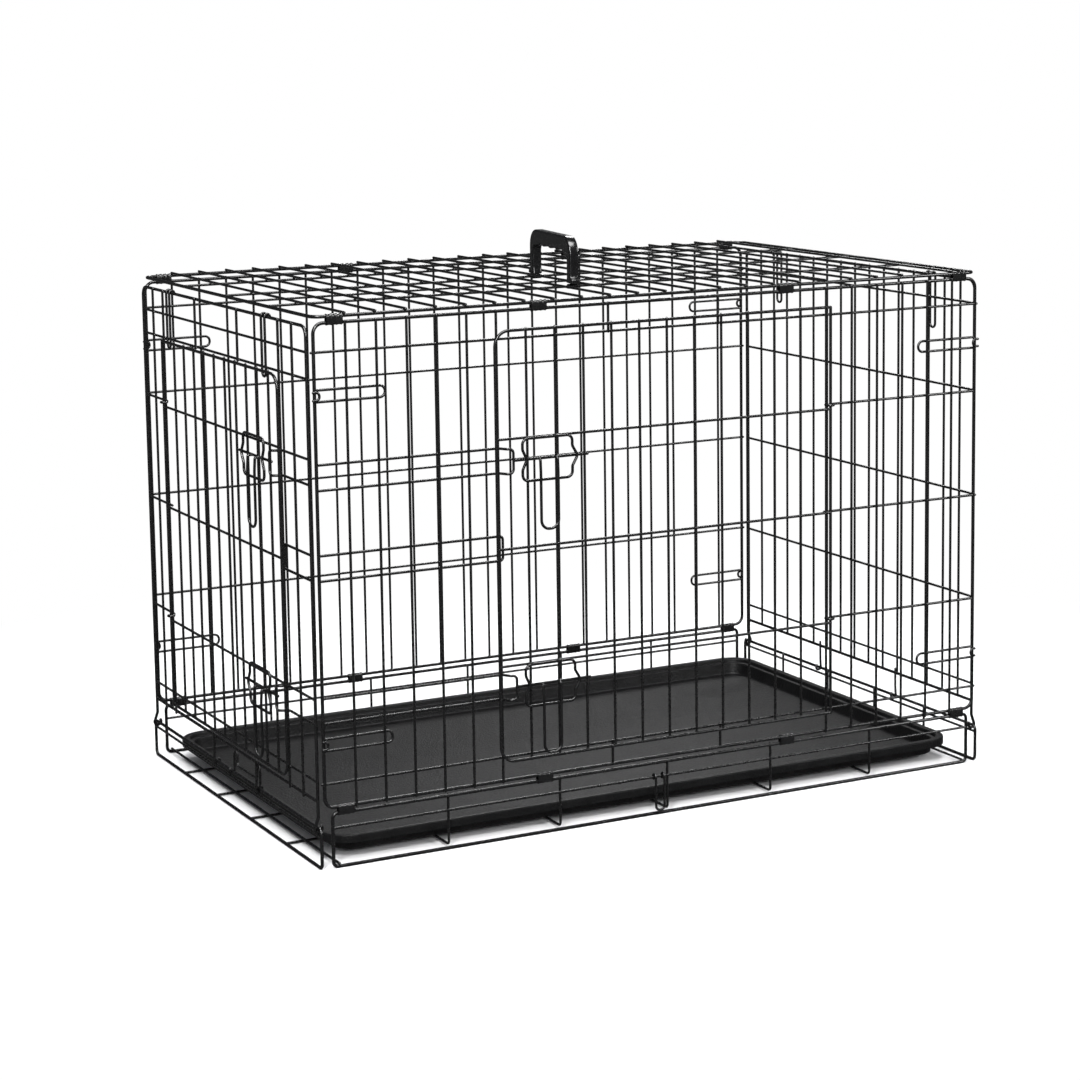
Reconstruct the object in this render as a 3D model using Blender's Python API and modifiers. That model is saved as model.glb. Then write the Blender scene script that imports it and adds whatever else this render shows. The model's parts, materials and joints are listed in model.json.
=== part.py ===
"""A folding wire dog crate with a front door and an end door.

Axes: X along the crate with the end door at -X, Y across it with the front door at -Y, and Z up.
Sizes below are in millimetres; wire(), outline() and place() turn them into metres.
"""

import math

import bmesh
import bpy
from mathutils import Matrix, Vector

MM = 0.001

# Overall sizes
PITCH = 38.0  # from one upright wire to the next
CELLS = 24  # cells along the crate
SIDE_Y = 286.5  # middle of the crate to the plane of a long panel
HINGE_Z = 73.0  # fold axis of the long panels, their bottom wire
TOP_Z = 635.5  # top wire of the long panels
RIM_INSET = 9.0  # base rim corners inside the panel corners
HANDLE_RISE = 58.0  # carry handle above its feet

# Wire radii
R_FRAME = 2.1
R_END_FRAME = 2.0
R_MESH = 1.6
R_DOOR = 1.9
R_LATCH = 1.7

# Fits
BITE = 0.45  # an upright pressed into a frame wire by its weld
CROSS_BITE = 0.4  # two floor wires pressed together by their weld
FIT = 0.35  # a wire turning in a wire loop
REST = 0.3  # two pieces that lie against each other
STUB = 1.0  # an upright's end past the wire it is welded to

# Bends
PANEL_BEND = 12.0
RIM_BEND = 6.0
DOOR_BEND = 18.0
PIN_BEND = 4.5

# Long panels
FRONT_DOOR_HALF = 232.0
DOOR_SILL = 24.5  # door frame above the hinge wire
DOOR_HEAD = 23.0  # door frame below the top wire
RAIL_DROP = 33.0  # top rail below the top wire
RAIL_RISE = 28.5  # bottom rail above the hinge wire
RAIL_STEP = 135.75  # middle rail to the rails beside it
DOOR_RAIL_DROP = 5.0  # door rail below the hinge eye beside it
DOOR_LAP = 4.0  # door frame over the upright beside it
DOOR_GAP = 0.5  # door frame in front of the panel's uprights
EYE_LEAD = 8.0  # a hinge eye's curl from the hinge axis
SHORT_X = 76.0  # short uprights above and below the front door
CATCH_REACH = 87.0
CATCH_GAPS = ((76.0, 89.5), (67.5, 81.5))  # below the top wire, above the hinge wire
PLAIN_KEEPER = 29.5  # height of the keeper that has no rod
KEEPER_REACH = 10.0  # its closed end past the door's edge

# End panels
END_GAP = 5.5  # end panel outside the corners of the long panels
END_SLACK = 8.0  # end panel inside the plane of a long panel
END_AXIS_Z = 48.0  # top wire of the end rims, on which the end panels fold
END_BOTTOM_Z = 80.0
END_TOP_DROP = 3.5
END_SPACES = 16  # spaces between the uprights of the plain end
END_DOOR_HINGE_MARGIN = 88.5
END_DOOR_LATCH_MARGIN = 73.5
END_DOOR_RISE = 12.0
END_DOOR_DROP = 63.0
END_DOOR_SPACES = 11
END_LOW_STEP = 144.25  # middle rail to the lower hinge eye of the end door
END_FOOT_RAIL = 23.0  # lowest rail above the bottom wire
LINTEL_RISE = 3.0  # lintel above the end door's top
BESIDE_HINGE = (42.0, 4.0)  # uprights outside the end door's hinge side
BESIDE_LATCH = (-4.0, 38.0)  # uprights outside its latch side
END_SHORTS = (76.0, -69.0)
END_HOOKS = (54.0, -91.0)
BACK_HOOKS = (87.0, -100.0)
END_CATCHES = (173.0, -156.0)
BACK_CATCHES = (195.0, -182.0)
END_CATCH_LENGTH = 70.0
END_CATCH_GAP = 8.5
CATCH_BEND = 0.95  # bend of a narrow hairpin, as a share of half its gap
HOOK_RISE = 12.0
RING_SWEEP = 230.0

# Base
FLOOR_Z = 5.35  # wires across the floor
FLOOR_U_X = (0.0, 149.0, 298.0)
FLOOR_END_MARGIN = 16.0
FLOOR_LONG_Y = (58.5, 176.0)
MID_RIM_DROP = 25.0  # rim wire that the front hook hangs on, below the fold axis
END_RIM_LOW_WIRE_Z = 40.0
END_RIM_LAP = 0.5  # end rim corners past the side rims

# Tray
TRAY_CLEAR = 18.5  # tray inside the long panels
TRAY_END_CLEAR = 18.5
TRAY_WALL = 2.0
TRAY_TOP_Z = 30.5
TRAY_LIP_DROP = 10.0
TRAY_CORNER = 38.0
TRAY_LIP = 10.0  # width of the flat rim and its two rounded edges
TRAY_EASE = 1.5  # rounding of the rim's edges
TRAY_STEP_DROP = 4.5  # ledge inside the rim
TRAY_STEP = 5.5
TRAY_SLOPE = 6.5  # from the ledge down to the floor
TRAY_WALL_SIDE = -1.0  # the wall grows below the drawn skin

# Clips
CLIP_WALL = 0.8
CLIP_LENGTH = 20.0
CLIP_CELLS = 4.5
CLIP_END_MARGIN = 25.8

# Latches
ROD_TIP = 22.5  # rod tip from the door frame wire, drawn back
BRACKET_HALF = 25.2
BRACKET_LENGTH = 70.0
BRACKET_STARTS = (32.0, 38.0)  # front door, end door
ROD_DROPS = (26.0, 20.0)  # rod below the door rail, front door and end door
ROD_TAIL = 18.0
HANDLE_LEGS = (22.0, 45.0)
HANDLE_LENGTH = 84.0
STAPLE_END = 20.0
STAPLE_BEND = 5.5
STAPLE_HALF = 14.75
STAPLE_SLOPE = 0.55  # share of the overhang that slopes out
STAPLE_ROUND = 3.0
HANDLE_SET = 1.0  # handle wire leans out over its bend
HANDLE_BEND_DROP = 16.0
PINCH = 4.0  # bracket side pulled in at the rod

# Carry handle
GRIP_FOOT_OFF = 11.0  # handle feet, either side of the upright next to the middle
GRIP_WIDTH = 15.0
GRIP_LEG = 12.0
GRIP_THICK = 20.0
SCALLOPS = 4
HANDLE_CLIP_LENGTH = 14.0
HANDLE_CLIP_WALL = 1.4
GRIP_FLANGE = 6.0  # foot flange past the leg
GRIP_FLANGE_Z = 8.0  # top of the flange
GRIP_BEND = 22.0
SCALLOP_DEPTH = 1.0
SCALLOP_INSET = 14.0

# Wire stops on the base
STOP_HEIGHT = 25.0
STOP_LOOPS = (2.0, -8.0, -75.0, -85.0)
FRONT_HOOK_X = (-8.0, -20.0)
FRONT_HOOK_TIP_Z = 6.7

# Worked out from the sizes above
SIDE_HALF = PITCH * CELLS / 2
UP = R_FRAME + R_MESH - BITE  # upright outside the plane of a long panel
RAIL = UP - 2 * R_MESH - REST  # rail outside the same plane, just clear of the uprights
PAIR = UP + R_MESH + R_FRAME + FIT  # two frame wires held side by side in a clip
RIM_Z = HINGE_Z - PAIR
MID_RIM_Z = HINGE_Z - MID_RIM_DROP
LID_Z = TOP_Z + PAIR
MIDDLE_Z = (HINGE_Z + TOP_Z) / 2
RAIL_ZS = (TOP_Z - RAIL_DROP, MIDDLE_Z + RAIL_STEP, MIDDLE_Z, MIDDLE_Z - RAIL_STEP, HINGE_Z + RAIL_RISE)
DOOR_Y = SIDE_Y + UP + R_MESH + DOOR_GAP + R_DOOR
DOOR_LOW_Z = HINGE_Z + DOOR_SILL
DOOR_TOP_Z = TOP_Z - DOOR_HEAD
DOOR_UP = R_DOOR + R_MESH - BITE  # door upright inside the door frame
DOOR_RAIL = DOOR_UP - 2 * R_MESH - REST
END_X = SIDE_HALF + END_GAP
END_HALF = SIDE_Y - END_SLACK
END_TOP_Z = TOP_Z - END_TOP_DROP
END_UP = R_END_FRAME + R_MESH - BITE
END_RAIL = END_UP - 2 * R_MESH - REST
END_DOOR_X = END_X + END_UP + R_MESH + DOOR_GAP + R_DOOR
END_DOOR_HINGE_Y = END_HALF - END_DOOR_HINGE_MARGIN
END_DOOR_LATCH_Y = END_DOOR_LATCH_MARGIN - END_HALF
END_DOOR_LOW_Z = END_BOTTOM_Z + END_DOOR_RISE
END_DOOR_TOP_Z = END_TOP_Z - END_DOOR_DROP
CLIP_XS = (-SIDE_HALF + CLIP_END_MARGIN, -CLIP_CELLS * PITCH, CLIP_CELLS * PITCH,
           SIDE_HALF - CLIP_END_MARGIN)
FIRST_SIDE_CELL = math.ceil((FRONT_DOOR_HALF - DOOR_LAP) / PITCH)
LID_WIRE_Z = LID_Z + UP
LID_LONG_Z = LID_Z + RAIL
EYE = R_DOOR + FIT + R_MESH
BASE_UP_Y = SIDE_Y - UP  # base upright inside the rim
RIM_RAIL_Y = BASE_UP_Y + 2 * R_MESH + REST
ROD_OUT = R_MESH - DOOR_UP + REST + R_LATCH  # rod outside the door frame plane
BRACKET_OUT = R_MESH - DOOR_RAIL + REST + R_LATCH
PINCH_OUT = ROD_OUT + 2 * R_LATCH + REST
HANDLE_OUT = BRACKET_OUT + 2 * R_LATCH + REST
STAPLE_OUT = ROD_OUT + R_LATCH + FIT + R_MESH


def clear_scene():
    for old in list(bpy.data.objects):
        bpy.data.objects.remove(old)


def finish(name, colour, roughness, metallic):
    """A plain material for one sub-part."""
    material = bpy.data.materials.new(f"{name}_finish")
    material.use_nodes = True
    shader = material.node_tree.nodes["Principled BSDF"]
    shader.inputs["Base Color"].default_value = (*colour, 1)
    shader.inputs["Roughness"].default_value = roughness
    shader.inputs["Metallic"].default_value = metallic
    return material


def black_steel(name):
    return finish(name, (0.022, 0.022, 0.024), 0.38, 0.0)


def black_plastic(name):
    return finish(name, (0.016, 0.016, 0.017), 0.5, 0.0)


def bent(corners, bend, closed=False, steps=2):
    """A centre line through corners, each turned on an arc whose radius is bend."""
    points = [Vector(corner) for corner in corners]
    bends = list(bend) if isinstance(bend, (list, tuple)) else [bend] * len(points)
    line = []
    for i, corner in enumerate(points):
        if not closed and i in (0, len(points) - 1):
            line.append(corner)
            continue
        back = (points[i - 1] - corner).normalized()
        ahead = (points[(i + 1) % len(points)] - corner).normalized()
        half = back.angle(ahead) / 2
        centre = corner + (back + ahead).normalized() * bends[i] / math.sin(half)
        run = bends[i] / math.tan(half)
        start = corner + back * run - centre
        end = corner + ahead * run - centre
        turn = math.pi - 2 * half
        for step in range(steps + 1):
            part = step / steps
            line.append(centre + (start * math.sin((1 - part) * turn)
                                  + end * math.sin(part * turn)) / math.sin(turn))
    return line


def ring(approach, centre, radius, turn, sweep=RING_SWEEP, steps=6):
    """Flat points of a loop round centre, entered on the tangent from approach; turn is 1 or -1."""
    reach = Vector(approach) - Vector(centre)
    start = math.atan2(reach.y, reach.x) + turn * math.acos(min(1, radius / reach.length))
    angles = [start + turn * math.radians(sweep) * step / steps for step in range(steps + 1)]
    return [(centre[0] + radius * math.cos(a), centre[1] + radius * math.sin(a)) for a in angles]


def solid_mesh(curve):
    """The closed mesh of a curve, with its caps welded on."""
    holder = bpy.data.objects.new("curve", curve)
    bpy.context.scene.collection.objects.link(holder)
    graph = bpy.context.evaluated_depsgraph_get()
    mesh = bpy.data.meshes.new_from_object(holder.evaluated_get(graph))
    bpy.data.objects.remove(holder)
    bpy.data.curves.remove(curve)
    shape = bmesh.new()
    shape.from_mesh(mesh)
    bmesh.ops.remove_doubles(shape, verts=shape.verts, dist=1e-6)
    bmesh.ops.recalc_face_normals(shape, faces=shape.faces)
    shape.to_mesh(mesh)
    shape.free()
    return mesh


def wire(points, radius, closed=False, sides=8):
    curve = bpy.data.curves.new("wire", "CURVE")
    curve.dimensions = "3D"
    curve.bevel_depth = radius * MM
    curve.bevel_resolution = sides // 2 - 2
    curve.use_fill_caps = True
    spline = curve.splines.new("POLY")
    spline.points.add(len(points) - 1)
    for place_on_line, point in zip(spline.points, points):
        place_on_line.co = (*(Vector(point) * MM), 1)
    spline.use_cyclic_u = closed
    return solid_mesh(curve)


def outline(loops, thickness):
    """A flat outline in X and Y, with any further loops as holes, thickened along Z."""
    curve = bpy.data.curves.new("outline", "CURVE")
    curve.dimensions = "2D"
    curve.fill_mode = "BOTH"
    curve.extrude = thickness / 2 * MM
    for loop in loops:
        spline = curve.splines.new("POLY")
        spline.points.add(len(loop) - 1)
        for place_on_line, point in zip(spline.points, loop):
            place_on_line.co = (point[0] * MM, point[1] * MM, 0, 1)
        spline.use_cyclic_u = True
    return solid_mesh(curve)


def welded(meshes):
    """One mesh from wires that are welded where they meet."""
    scene = bpy.context.scene.collection
    others = bpy.data.collections.new("wires")
    scene.children.link(others)
    pieces = [bpy.data.objects.new("wire", mesh) for mesh in meshes]
    scene.objects.link(pieces[0])
    for piece in pieces[1:]:
        others.objects.link(piece)
    weld = pieces[0].modifiers.new("weld", "BOOLEAN")
    weld.operation = "UNION"
    weld.operand_type = "COLLECTION"
    weld.collection = others
    graph = bpy.context.evaluated_depsgraph_get()
    result = bpy.data.meshes.new_from_object(pieces[0].evaluated_get(graph))
    for piece in pieces:
        bpy.data.objects.remove(piece)
    for mesh in meshes:
        bpy.data.meshes.remove(mesh)
    bpy.data.collections.remove(others)
    return result


def place(name, mesh, material, pivot=(0, 0, 0)):
    """Adds a finished mesh to the crate with its origin on its joint's axis."""
    mesh.transform(Matrix.Translation(-Vector(pivot) * MM))
    mesh.materials.clear()
    mesh.materials.append(material)
    mesh.shade_smooth()
    mesh.set_sharp_from_angle(angle=math.radians(50))
    part = bpy.data.objects.new(name, mesh)
    part.location = Vector(pivot) * MM
    part.parent = ROOT
    PARTS.objects.link(part)
    return part


def bars(lines, radius, sides=6):
    return [wire(line, radius, sides=sides) for line in lines]


def rectangle(across, low, high, at):
    """Corners of an upright rectangle; at(across, z) gives a corner's place."""
    return [at(-across, low), at(across, low), at(across, high), at(-across, high)]


def side_frame(y):
    corners = rectangle(SIDE_HALF, HINGE_Z, TOP_Z, lambda x, z: (x, y, z))
    return wire(bent(corners, PANEL_BEND, closed=True), R_FRAME, closed=True)


def side_catches(y):
    """Long hairpins that stiffen the corners of a long panel."""
    pairs = [tuple(TOP_Z - gap for gap in CATCH_GAPS[0]), tuple(HINGE_Z + gap for gap in CATCH_GAPS[1])]
    reach = SIDE_HALF - CATCH_REACH
    return bars([bent([(side * (SIDE_HALF - REST), y, high), (side * reach, y, high),
                       (side * reach, y, low), (side * (SIDE_HALF - REST), y, low)], PIN_BEND)
                 for side in (-1, 1) for high, low in pairs], R_MESH)


def uprights(xs, y, low, high):
    return bars([[(x, y, low), (x, y, high)] for x in xs], R_MESH)


def latch_zs(end):
    """Heights of the two rods on a door; end is 0 for the front door and 1 for the end door."""
    lows = (MIDDLE_Z - RAIL_STEP, MIDDLE_Z - END_LOW_STEP)
    return [eye - DOOR_RAIL_DROP - ROD_DROPS[end] for eye in (MIDDLE_Z + RAIL_STEP, lows[end])]


def staple(z, start, door_edge, rail_plane, door_plane, at):
    """A keeper: two rails that leave the panel through the door and close over the rod's tip."""
    tip = door_edge + STAPLE_END
    out = door_plane + STAPLE_OUT
    bend_at = door_edge + STAPLE_BEND
    slope = bend_at + (tip - bend_at - R_LATCH) * STAPLE_SLOPE
    corners = [at(start, rail_plane, z + STAPLE_HALF), at(bend_at, rail_plane, z + STAPLE_HALF),
               at(slope, out, z + STAPLE_HALF), at(tip, out, z + STAPLE_HALF),
               at(tip, out, z - STAPLE_HALF), at(slope, out, z - STAPLE_HALF),
               at(bend_at, rail_plane, z - STAPLE_HALF), at(start, rail_plane, z - STAPLE_HALF)]
    return wire(bent(corners, STAPLE_ROUND, steps=1), R_MESH, sides=6)


def front_panel():
    y = -SIDE_Y - RAIL
    cells = range(FIRST_SIDE_CELL, CELLS // 2)
    parts = [side_frame(-SIDE_Y)]
    parts += uprights([side * k * PITCH for side in (-1, 1) for k in cells], -SIDE_Y - UP,
                      HINGE_Z - STUB, TOP_Z + STUB)
    for side in (-1, 1):
        parts += uprights([side * SHORT_X], UP - SIDE_Y, RAIL_ZS[0] - STUB, TOP_Z + STUB)
        parts += uprights([side * SHORT_X], UP - SIDE_Y, HINGE_Z - STUB, RAIL_ZS[4] + STUB)
    edge = SIDE_HALF - REST
    parts += bars([[(-edge, y, z), (edge, y, z)] for z in (RAIL_ZS[0], RAIL_ZS[4])], R_MESH)
    parts += bars([[(FIRST_SIDE_CELL * PITCH - STUB, y, RAIL_ZS[2]), (edge, y, RAIL_ZS[2])]], R_MESH)
    curl = FRONT_DOOR_HALF + EYE_LEAD
    loop = ring((curl, y), (FRONT_DOOR_HALF, -DOOR_Y), EYE, 1)
    for z in (RAIL_ZS[1], RAIL_ZS[3]):
        line = [(edge, y, z), (curl + STUB, y, z)] + [(a, b, z) for a, b in loop]
        parts.append(wire(line, R_MESH, sides=6))
    for z in latch_zs(0):
        parts.append(staple(z, -edge, -FRONT_DOOR_HALF, SIDE_Y + RAIL, DOOR_Y, lambda a, o, h: (a, -o, h)))
    half = PLAIN_KEEPER / 2
    reach = KEEPER_REACH - FRONT_DOOR_HALF
    parts.append(wire(bent([(-edge, y, MIDDLE_Z + half), (reach, y, MIDDLE_Z + half),
                            (reach, y, MIDDLE_Z - half), (-edge, y, MIDDLE_Z - half)], PIN_BEND), R_MESH,
                      sides=6))
    parts += side_catches(y)
    place("front_panel", welded(parts), black_steel("front_panel"), (0, -SIDE_Y, HINGE_Z))


def rear_panel():
    y = SIDE_Y + RAIL
    edge = SIDE_HALF - REST
    parts = [side_frame(SIDE_Y)]
    parts += uprights([k * PITCH for k in range(1 - CELLS // 2, CELLS // 2)], SIDE_Y + UP,
                      HINGE_Z - STUB, TOP_Z + STUB)
    parts += bars([[(-edge, y, z), (edge, y, z)] for z in RAIL_ZS[:4]], R_MESH)
    parts += side_catches(y)
    place("rear_panel", welded(parts), black_steel("rear_panel"), (0, SIDE_Y, HINGE_Z))


def top_panel():
    corners = [(-SIDE_HALF, -SIDE_Y, LID_Z), (SIDE_HALF, -SIDE_Y, LID_Z), (SIDE_HALF, SIDE_Y, LID_Z),
               (-SIDE_HALF, SIDE_Y, LID_Z)]
    parts = [wire(bent(corners, PANEL_BEND, closed=True), R_FRAME, closed=True)]
    reach = SIDE_Y + R_FRAME + STUB / 2
    parts += bars([[(k * PITCH, -reach, LID_WIRE_Z), (k * PITCH, reach, LID_WIRE_Z)]
                   for k in range(1 - CELLS // 2, CELLS // 2)], R_MESH)
    edge = SIDE_HALF - REST
    parts += bars([[(-edge, y, LID_LONG_Z), (edge, y, LID_LONG_Z)]
                   for y in (-SIDE_Y / 2, 0, SIDE_Y / 2)], R_MESH, sides=8)
    place("top_panel", welded(parts), black_steel("top_panel"), (0, SIDE_Y, TOP_Z))


def end_frame(side):
    """An end panel's outer wire, whose feet are hooked round the base's end rim."""
    centre = (0, END_AXIS_Z)
    start = (0, END_AXIS_Z + HOOK_RISE)
    loop = ring(start, centre, R_END_FRAME + FIT + R_END_FRAME, -1)
    at = lambda out, y, z: (side * (END_X + out), y, z)
    feet = [[at(a, y, z) for a, z in loop] for y in (-END_HALF, END_HALF)]
    corners = [at(0, -END_HALF, END_AXIS_Z + HOOK_RISE + 1), at(0, -END_HALF, END_TOP_Z),
               at(0, END_HALF, END_TOP_Z), at(0, END_HALF, END_AXIS_Z + HOOK_RISE + 1)]
    line = feet[0][::-1] + bent(corners, PANEL_BEND) + feet[1]
    sill = [at(0, -END_HALF + REST, END_BOTTOM_Z), at(0, END_HALF - REST, END_BOTTOM_Z)]
    return [wire(line, R_END_FRAME), wire(sill, R_END_FRAME)]


def end_hooks(side, ys):
    """Short hooks from an end panel's bottom wire round the end rim."""
    start = (END_UP, END_AXIS_Z + HOOK_RISE)
    loop = ring(start, (0, END_AXIS_Z), R_END_FRAME + FIT + R_MESH, -1)
    return [wire([(side * (END_X + END_UP), y, END_BOTTOM_Z + 2 * R_MESH + STUB),
                  (side * (END_X + END_UP), y, END_AXIS_Z + HOOK_RISE)]
                 + [(side * (END_X + a), y, z) for a, z in loop], R_MESH, sides=6) for y in ys]


def end_catches(side, ys):
    """Hairpins that hang from an end panel's top wire."""
    x = side * (END_X + END_UP)
    half = END_CATCH_GAP / 2
    return [wire(bent([(x, y - half, END_TOP_Z + STUB), (x, y - half, END_TOP_Z - END_CATCH_LENGTH),
                       (x, y + half, END_TOP_Z - END_CATCH_LENGTH), (x, y + half, END_TOP_Z + STUB)],
                      half * CATCH_BEND), R_MESH, sides=6) for y in ys]


def cross_rails(x, zs):
    edge = END_HALF - REST
    return bars([[(x, -edge, z), (x, edge, z)] for z in zs], R_MESH)


def left_end_panel():
    out = -(END_X + END_UP)
    rail = -(END_X + END_RAIL)
    edge = END_HALF - REST
    top_rail = TOP_Z - RAIL_DROP
    lintel = END_DOOR_TOP_Z + LINTEL_RISE
    parts = end_frame(-1)
    beside = [END_DOOR_HINGE_Y + out_by for out_by in BESIDE_HINGE]
    beside += [END_DOOR_LATCH_Y - out_by for out_by in BESIDE_LATCH]
    parts += bars([[(out, y, END_BOTTOM_Z - STUB), (out, y, END_TOP_Z + STUB)] for y in beside], R_MESH)
    parts += bars([[(out, y, lintel - STUB), (out, y, END_TOP_Z + STUB)] for y in END_SHORTS], R_MESH)
    parts += cross_rails(rail, (top_rail, lintel, END_BOTTOM_Z + END_FOOT_RAIL))
    parts += end_hooks(-1, END_HOOKS)
    parts += end_catches(-1, END_CATCHES)
    curl = END_DOOR_HINGE_Y + EYE_LEAD
    loop = ring((curl, rail), (END_DOOR_HINGE_Y, -END_DOOR_X), EYE, 1)
    for z in (MIDDLE_Z + RAIL_STEP, MIDDLE_Z - END_LOW_STEP):
        line = [(rail, edge, z), (rail, curl + STUB, z)] + [(b, a, z) for a, b in loop]
        parts.append(wire(line, R_MESH, sides=6))
    parts += bars([[(rail, END_DOOR_HINGE_Y + 2 * STUB, MIDDLE_Z), (rail, edge, MIDDLE_Z)]], R_MESH)
    for z in latch_zs(1):
        parts.append(staple(z, -edge, END_DOOR_LATCH_Y, END_X + END_RAIL, END_DOOR_X,
                            lambda a, o, h: (-o, a, h)))
    half = PLAIN_KEEPER / 2
    reach = END_DOOR_LATCH_Y + KEEPER_REACH
    parts.append(wire(bent([(rail, -edge, MIDDLE_Z + half), (rail, reach, MIDDLE_Z + half),
                            (rail, reach, MIDDLE_Z - half), (rail, -edge, MIDDLE_Z - half)], PIN_BEND),
                      R_MESH, sides=6))
    place("left_end_panel", welded(parts), black_steel("left_end_panel"), (-END_X, 0, END_AXIS_Z))


def right_end_panel():
    out = END_X + END_UP
    step = 2 * END_HALF / END_SPACES
    parts = end_frame(1)
    ys = [i * step - END_HALF for i in range(1, END_SPACES)]
    parts += bars([[(out, y, END_BOTTOM_Z - STUB), (out, y, END_TOP_Z + STUB)] for y in ys], R_MESH)
    parts += cross_rails(END_X + END_RAIL, RAIL_ZS[:4] + (END_BOTTOM_Z + END_FOOT_RAIL,))
    parts += end_hooks(1, BACK_HOOKS)
    parts += end_catches(1, BACK_CATCHES)
    place("right_end_panel", welded(parts), black_steel("right_end_panel"), (END_X, 0, END_AXIS_Z))


def front_door():
    corners = rectangle(FRONT_DOOR_HALF, DOOR_LOW_Z, DOOR_TOP_Z, lambda x, z: (x, -DOOR_Y, z))
    parts = [wire(bent(corners, DOOR_BEND, closed=True), R_DOOR, closed=True)]
    cells = int((FRONT_DOOR_HALF - DOOR_BEND) // PITCH)
    parts += uprights([k * PITCH for k in range(-cells, cells + 1)], -DOOR_Y + DOOR_UP,
                      DOOR_LOW_Z - STUB, DOOR_TOP_Z + STUB)
    edge = FRONT_DOOR_HALF - REST
    y = -DOOR_Y + DOOR_RAIL
    zs = (MIDDLE_Z + RAIL_STEP - DOOR_RAIL_DROP, MIDDLE_Z, MIDDLE_Z - RAIL_STEP - DOOR_RAIL_DROP)
    parts += bars([[(-edge, y, z), (edge, y, z)] for z in zs], R_MESH)
    place("front_door", welded(parts), black_steel("front_door"), (FRONT_DOOR_HALF, -DOOR_Y, MIDDLE_Z))


def end_door():
    y0, y1 = END_DOOR_LATCH_Y, END_DOOR_HINGE_Y
    x = -END_DOOR_X
    corners = [(x, y0, END_DOOR_LOW_Z), (x, y1, END_DOOR_LOW_Z), (x, y1, END_DOOR_TOP_Z),
               (x, y0, END_DOOR_TOP_Z)]
    parts = [wire(bent(corners, DOOR_BEND, closed=True), R_DOOR, closed=True)]
    step = (y1 - y0) / END_DOOR_SPACES
    low, high = END_DOOR_LOW_Z - STUB, END_DOOR_TOP_Z + STUB
    ys = [y0 + i * step for i in range(1, END_DOOR_SPACES)]
    parts += bars([[(x + DOOR_UP, y, low), (x + DOOR_UP, y, high)] for y in ys], R_MESH)
    zs = (MIDDLE_Z + RAIL_STEP - DOOR_RAIL_DROP, MIDDLE_Z, MIDDLE_Z - END_LOW_STEP - DOOR_RAIL_DROP)
    parts += bars([[(x + DOOR_RAIL, y0 + REST, z), (x + DOOR_RAIL, y1 - REST, z)] for z in zs], R_MESH)
    place("end_door", welded(parts), black_steel("end_door"), (x, END_DOOR_HINGE_Y, MIDDLE_Z))


def latch(name, end, rod_z, edge, door_plane, at):
    """A slide bolt: the bracket on the door, the rod through it and the drop handle on the rod."""
    first = edge + BRACKET_STARTS[end]
    last = first + BRACKET_LENGTH
    out = door_plane + BRACKET_OUT
    pinch = door_plane + PINCH_OUT
    corners = [at(first, out, rod_z + BRACKET_HALF), at(last, out, rod_z + BRACKET_HALF),
               at(last - PINCH, pinch, rod_z), at(last, out, rod_z - BRACKET_HALF),
               at(first, out, rod_z - BRACKET_HALF), at(first + PINCH, pinch, rod_z)]
    bends = [5, 5, 10, 5, 5, 10]
    place(f"{name}_bracket", wire(bent(corners, bends, closed=True), R_LATCH, closed=True, sides=6),
          black_steel(f"{name}_bracket"), at(edge, door_plane, rod_z))
    rod_plane = door_plane + ROD_OUT
    pivot = at(edge + ROD_TIP, rod_plane, rod_z)
    rod = wire([pivot, at(last + ROD_TAIL, rod_plane, rod_z)], R_LATCH, sides=6)
    place(f"{name}_bolt", rod, black_steel(f"{name}_bolt"), pivot)
    near, far = (first + leg for leg in HANDLE_LEGS)
    start = rod_plane + R_LATCH + FIT
    low = rod_z - HANDLE_LENGTH
    hang = door_plane + HANDLE_OUT
    drop = rod_z - HANDLE_BEND_DROP
    line = bent([at(near, start, rod_z), at(near, hang - HANDLE_SET, rod_z), at(near, hang, drop),
                 at(near, hang, low), at(far, hang, low), at(far, hang, drop),
                 at(far, hang - HANDLE_SET, rod_z), at(far, start, rod_z)], [0, 1.8, 8, 9, 9, 8, 1.8, 0])
    place(f"{name}_handle", wire(line, R_LATCH, sides=6), black_steel(f"{name}_handle"), pivot)


def latches():
    for name, z in zip(("upper", "lower"), latch_zs(0)):
        latch(f"front_latch_{name}", 0, z, -FRONT_DOOR_HALF, DOOR_Y, lambda a, o, h: (a, -o, h))
    for name, z in zip(("upper", "lower"), latch_zs(1)):
        latch(f"end_latch_{name}", 1, z, END_DOOR_LATCH_Y, END_DOOR_X, lambda a, o, h: (-o, a, h))


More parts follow.
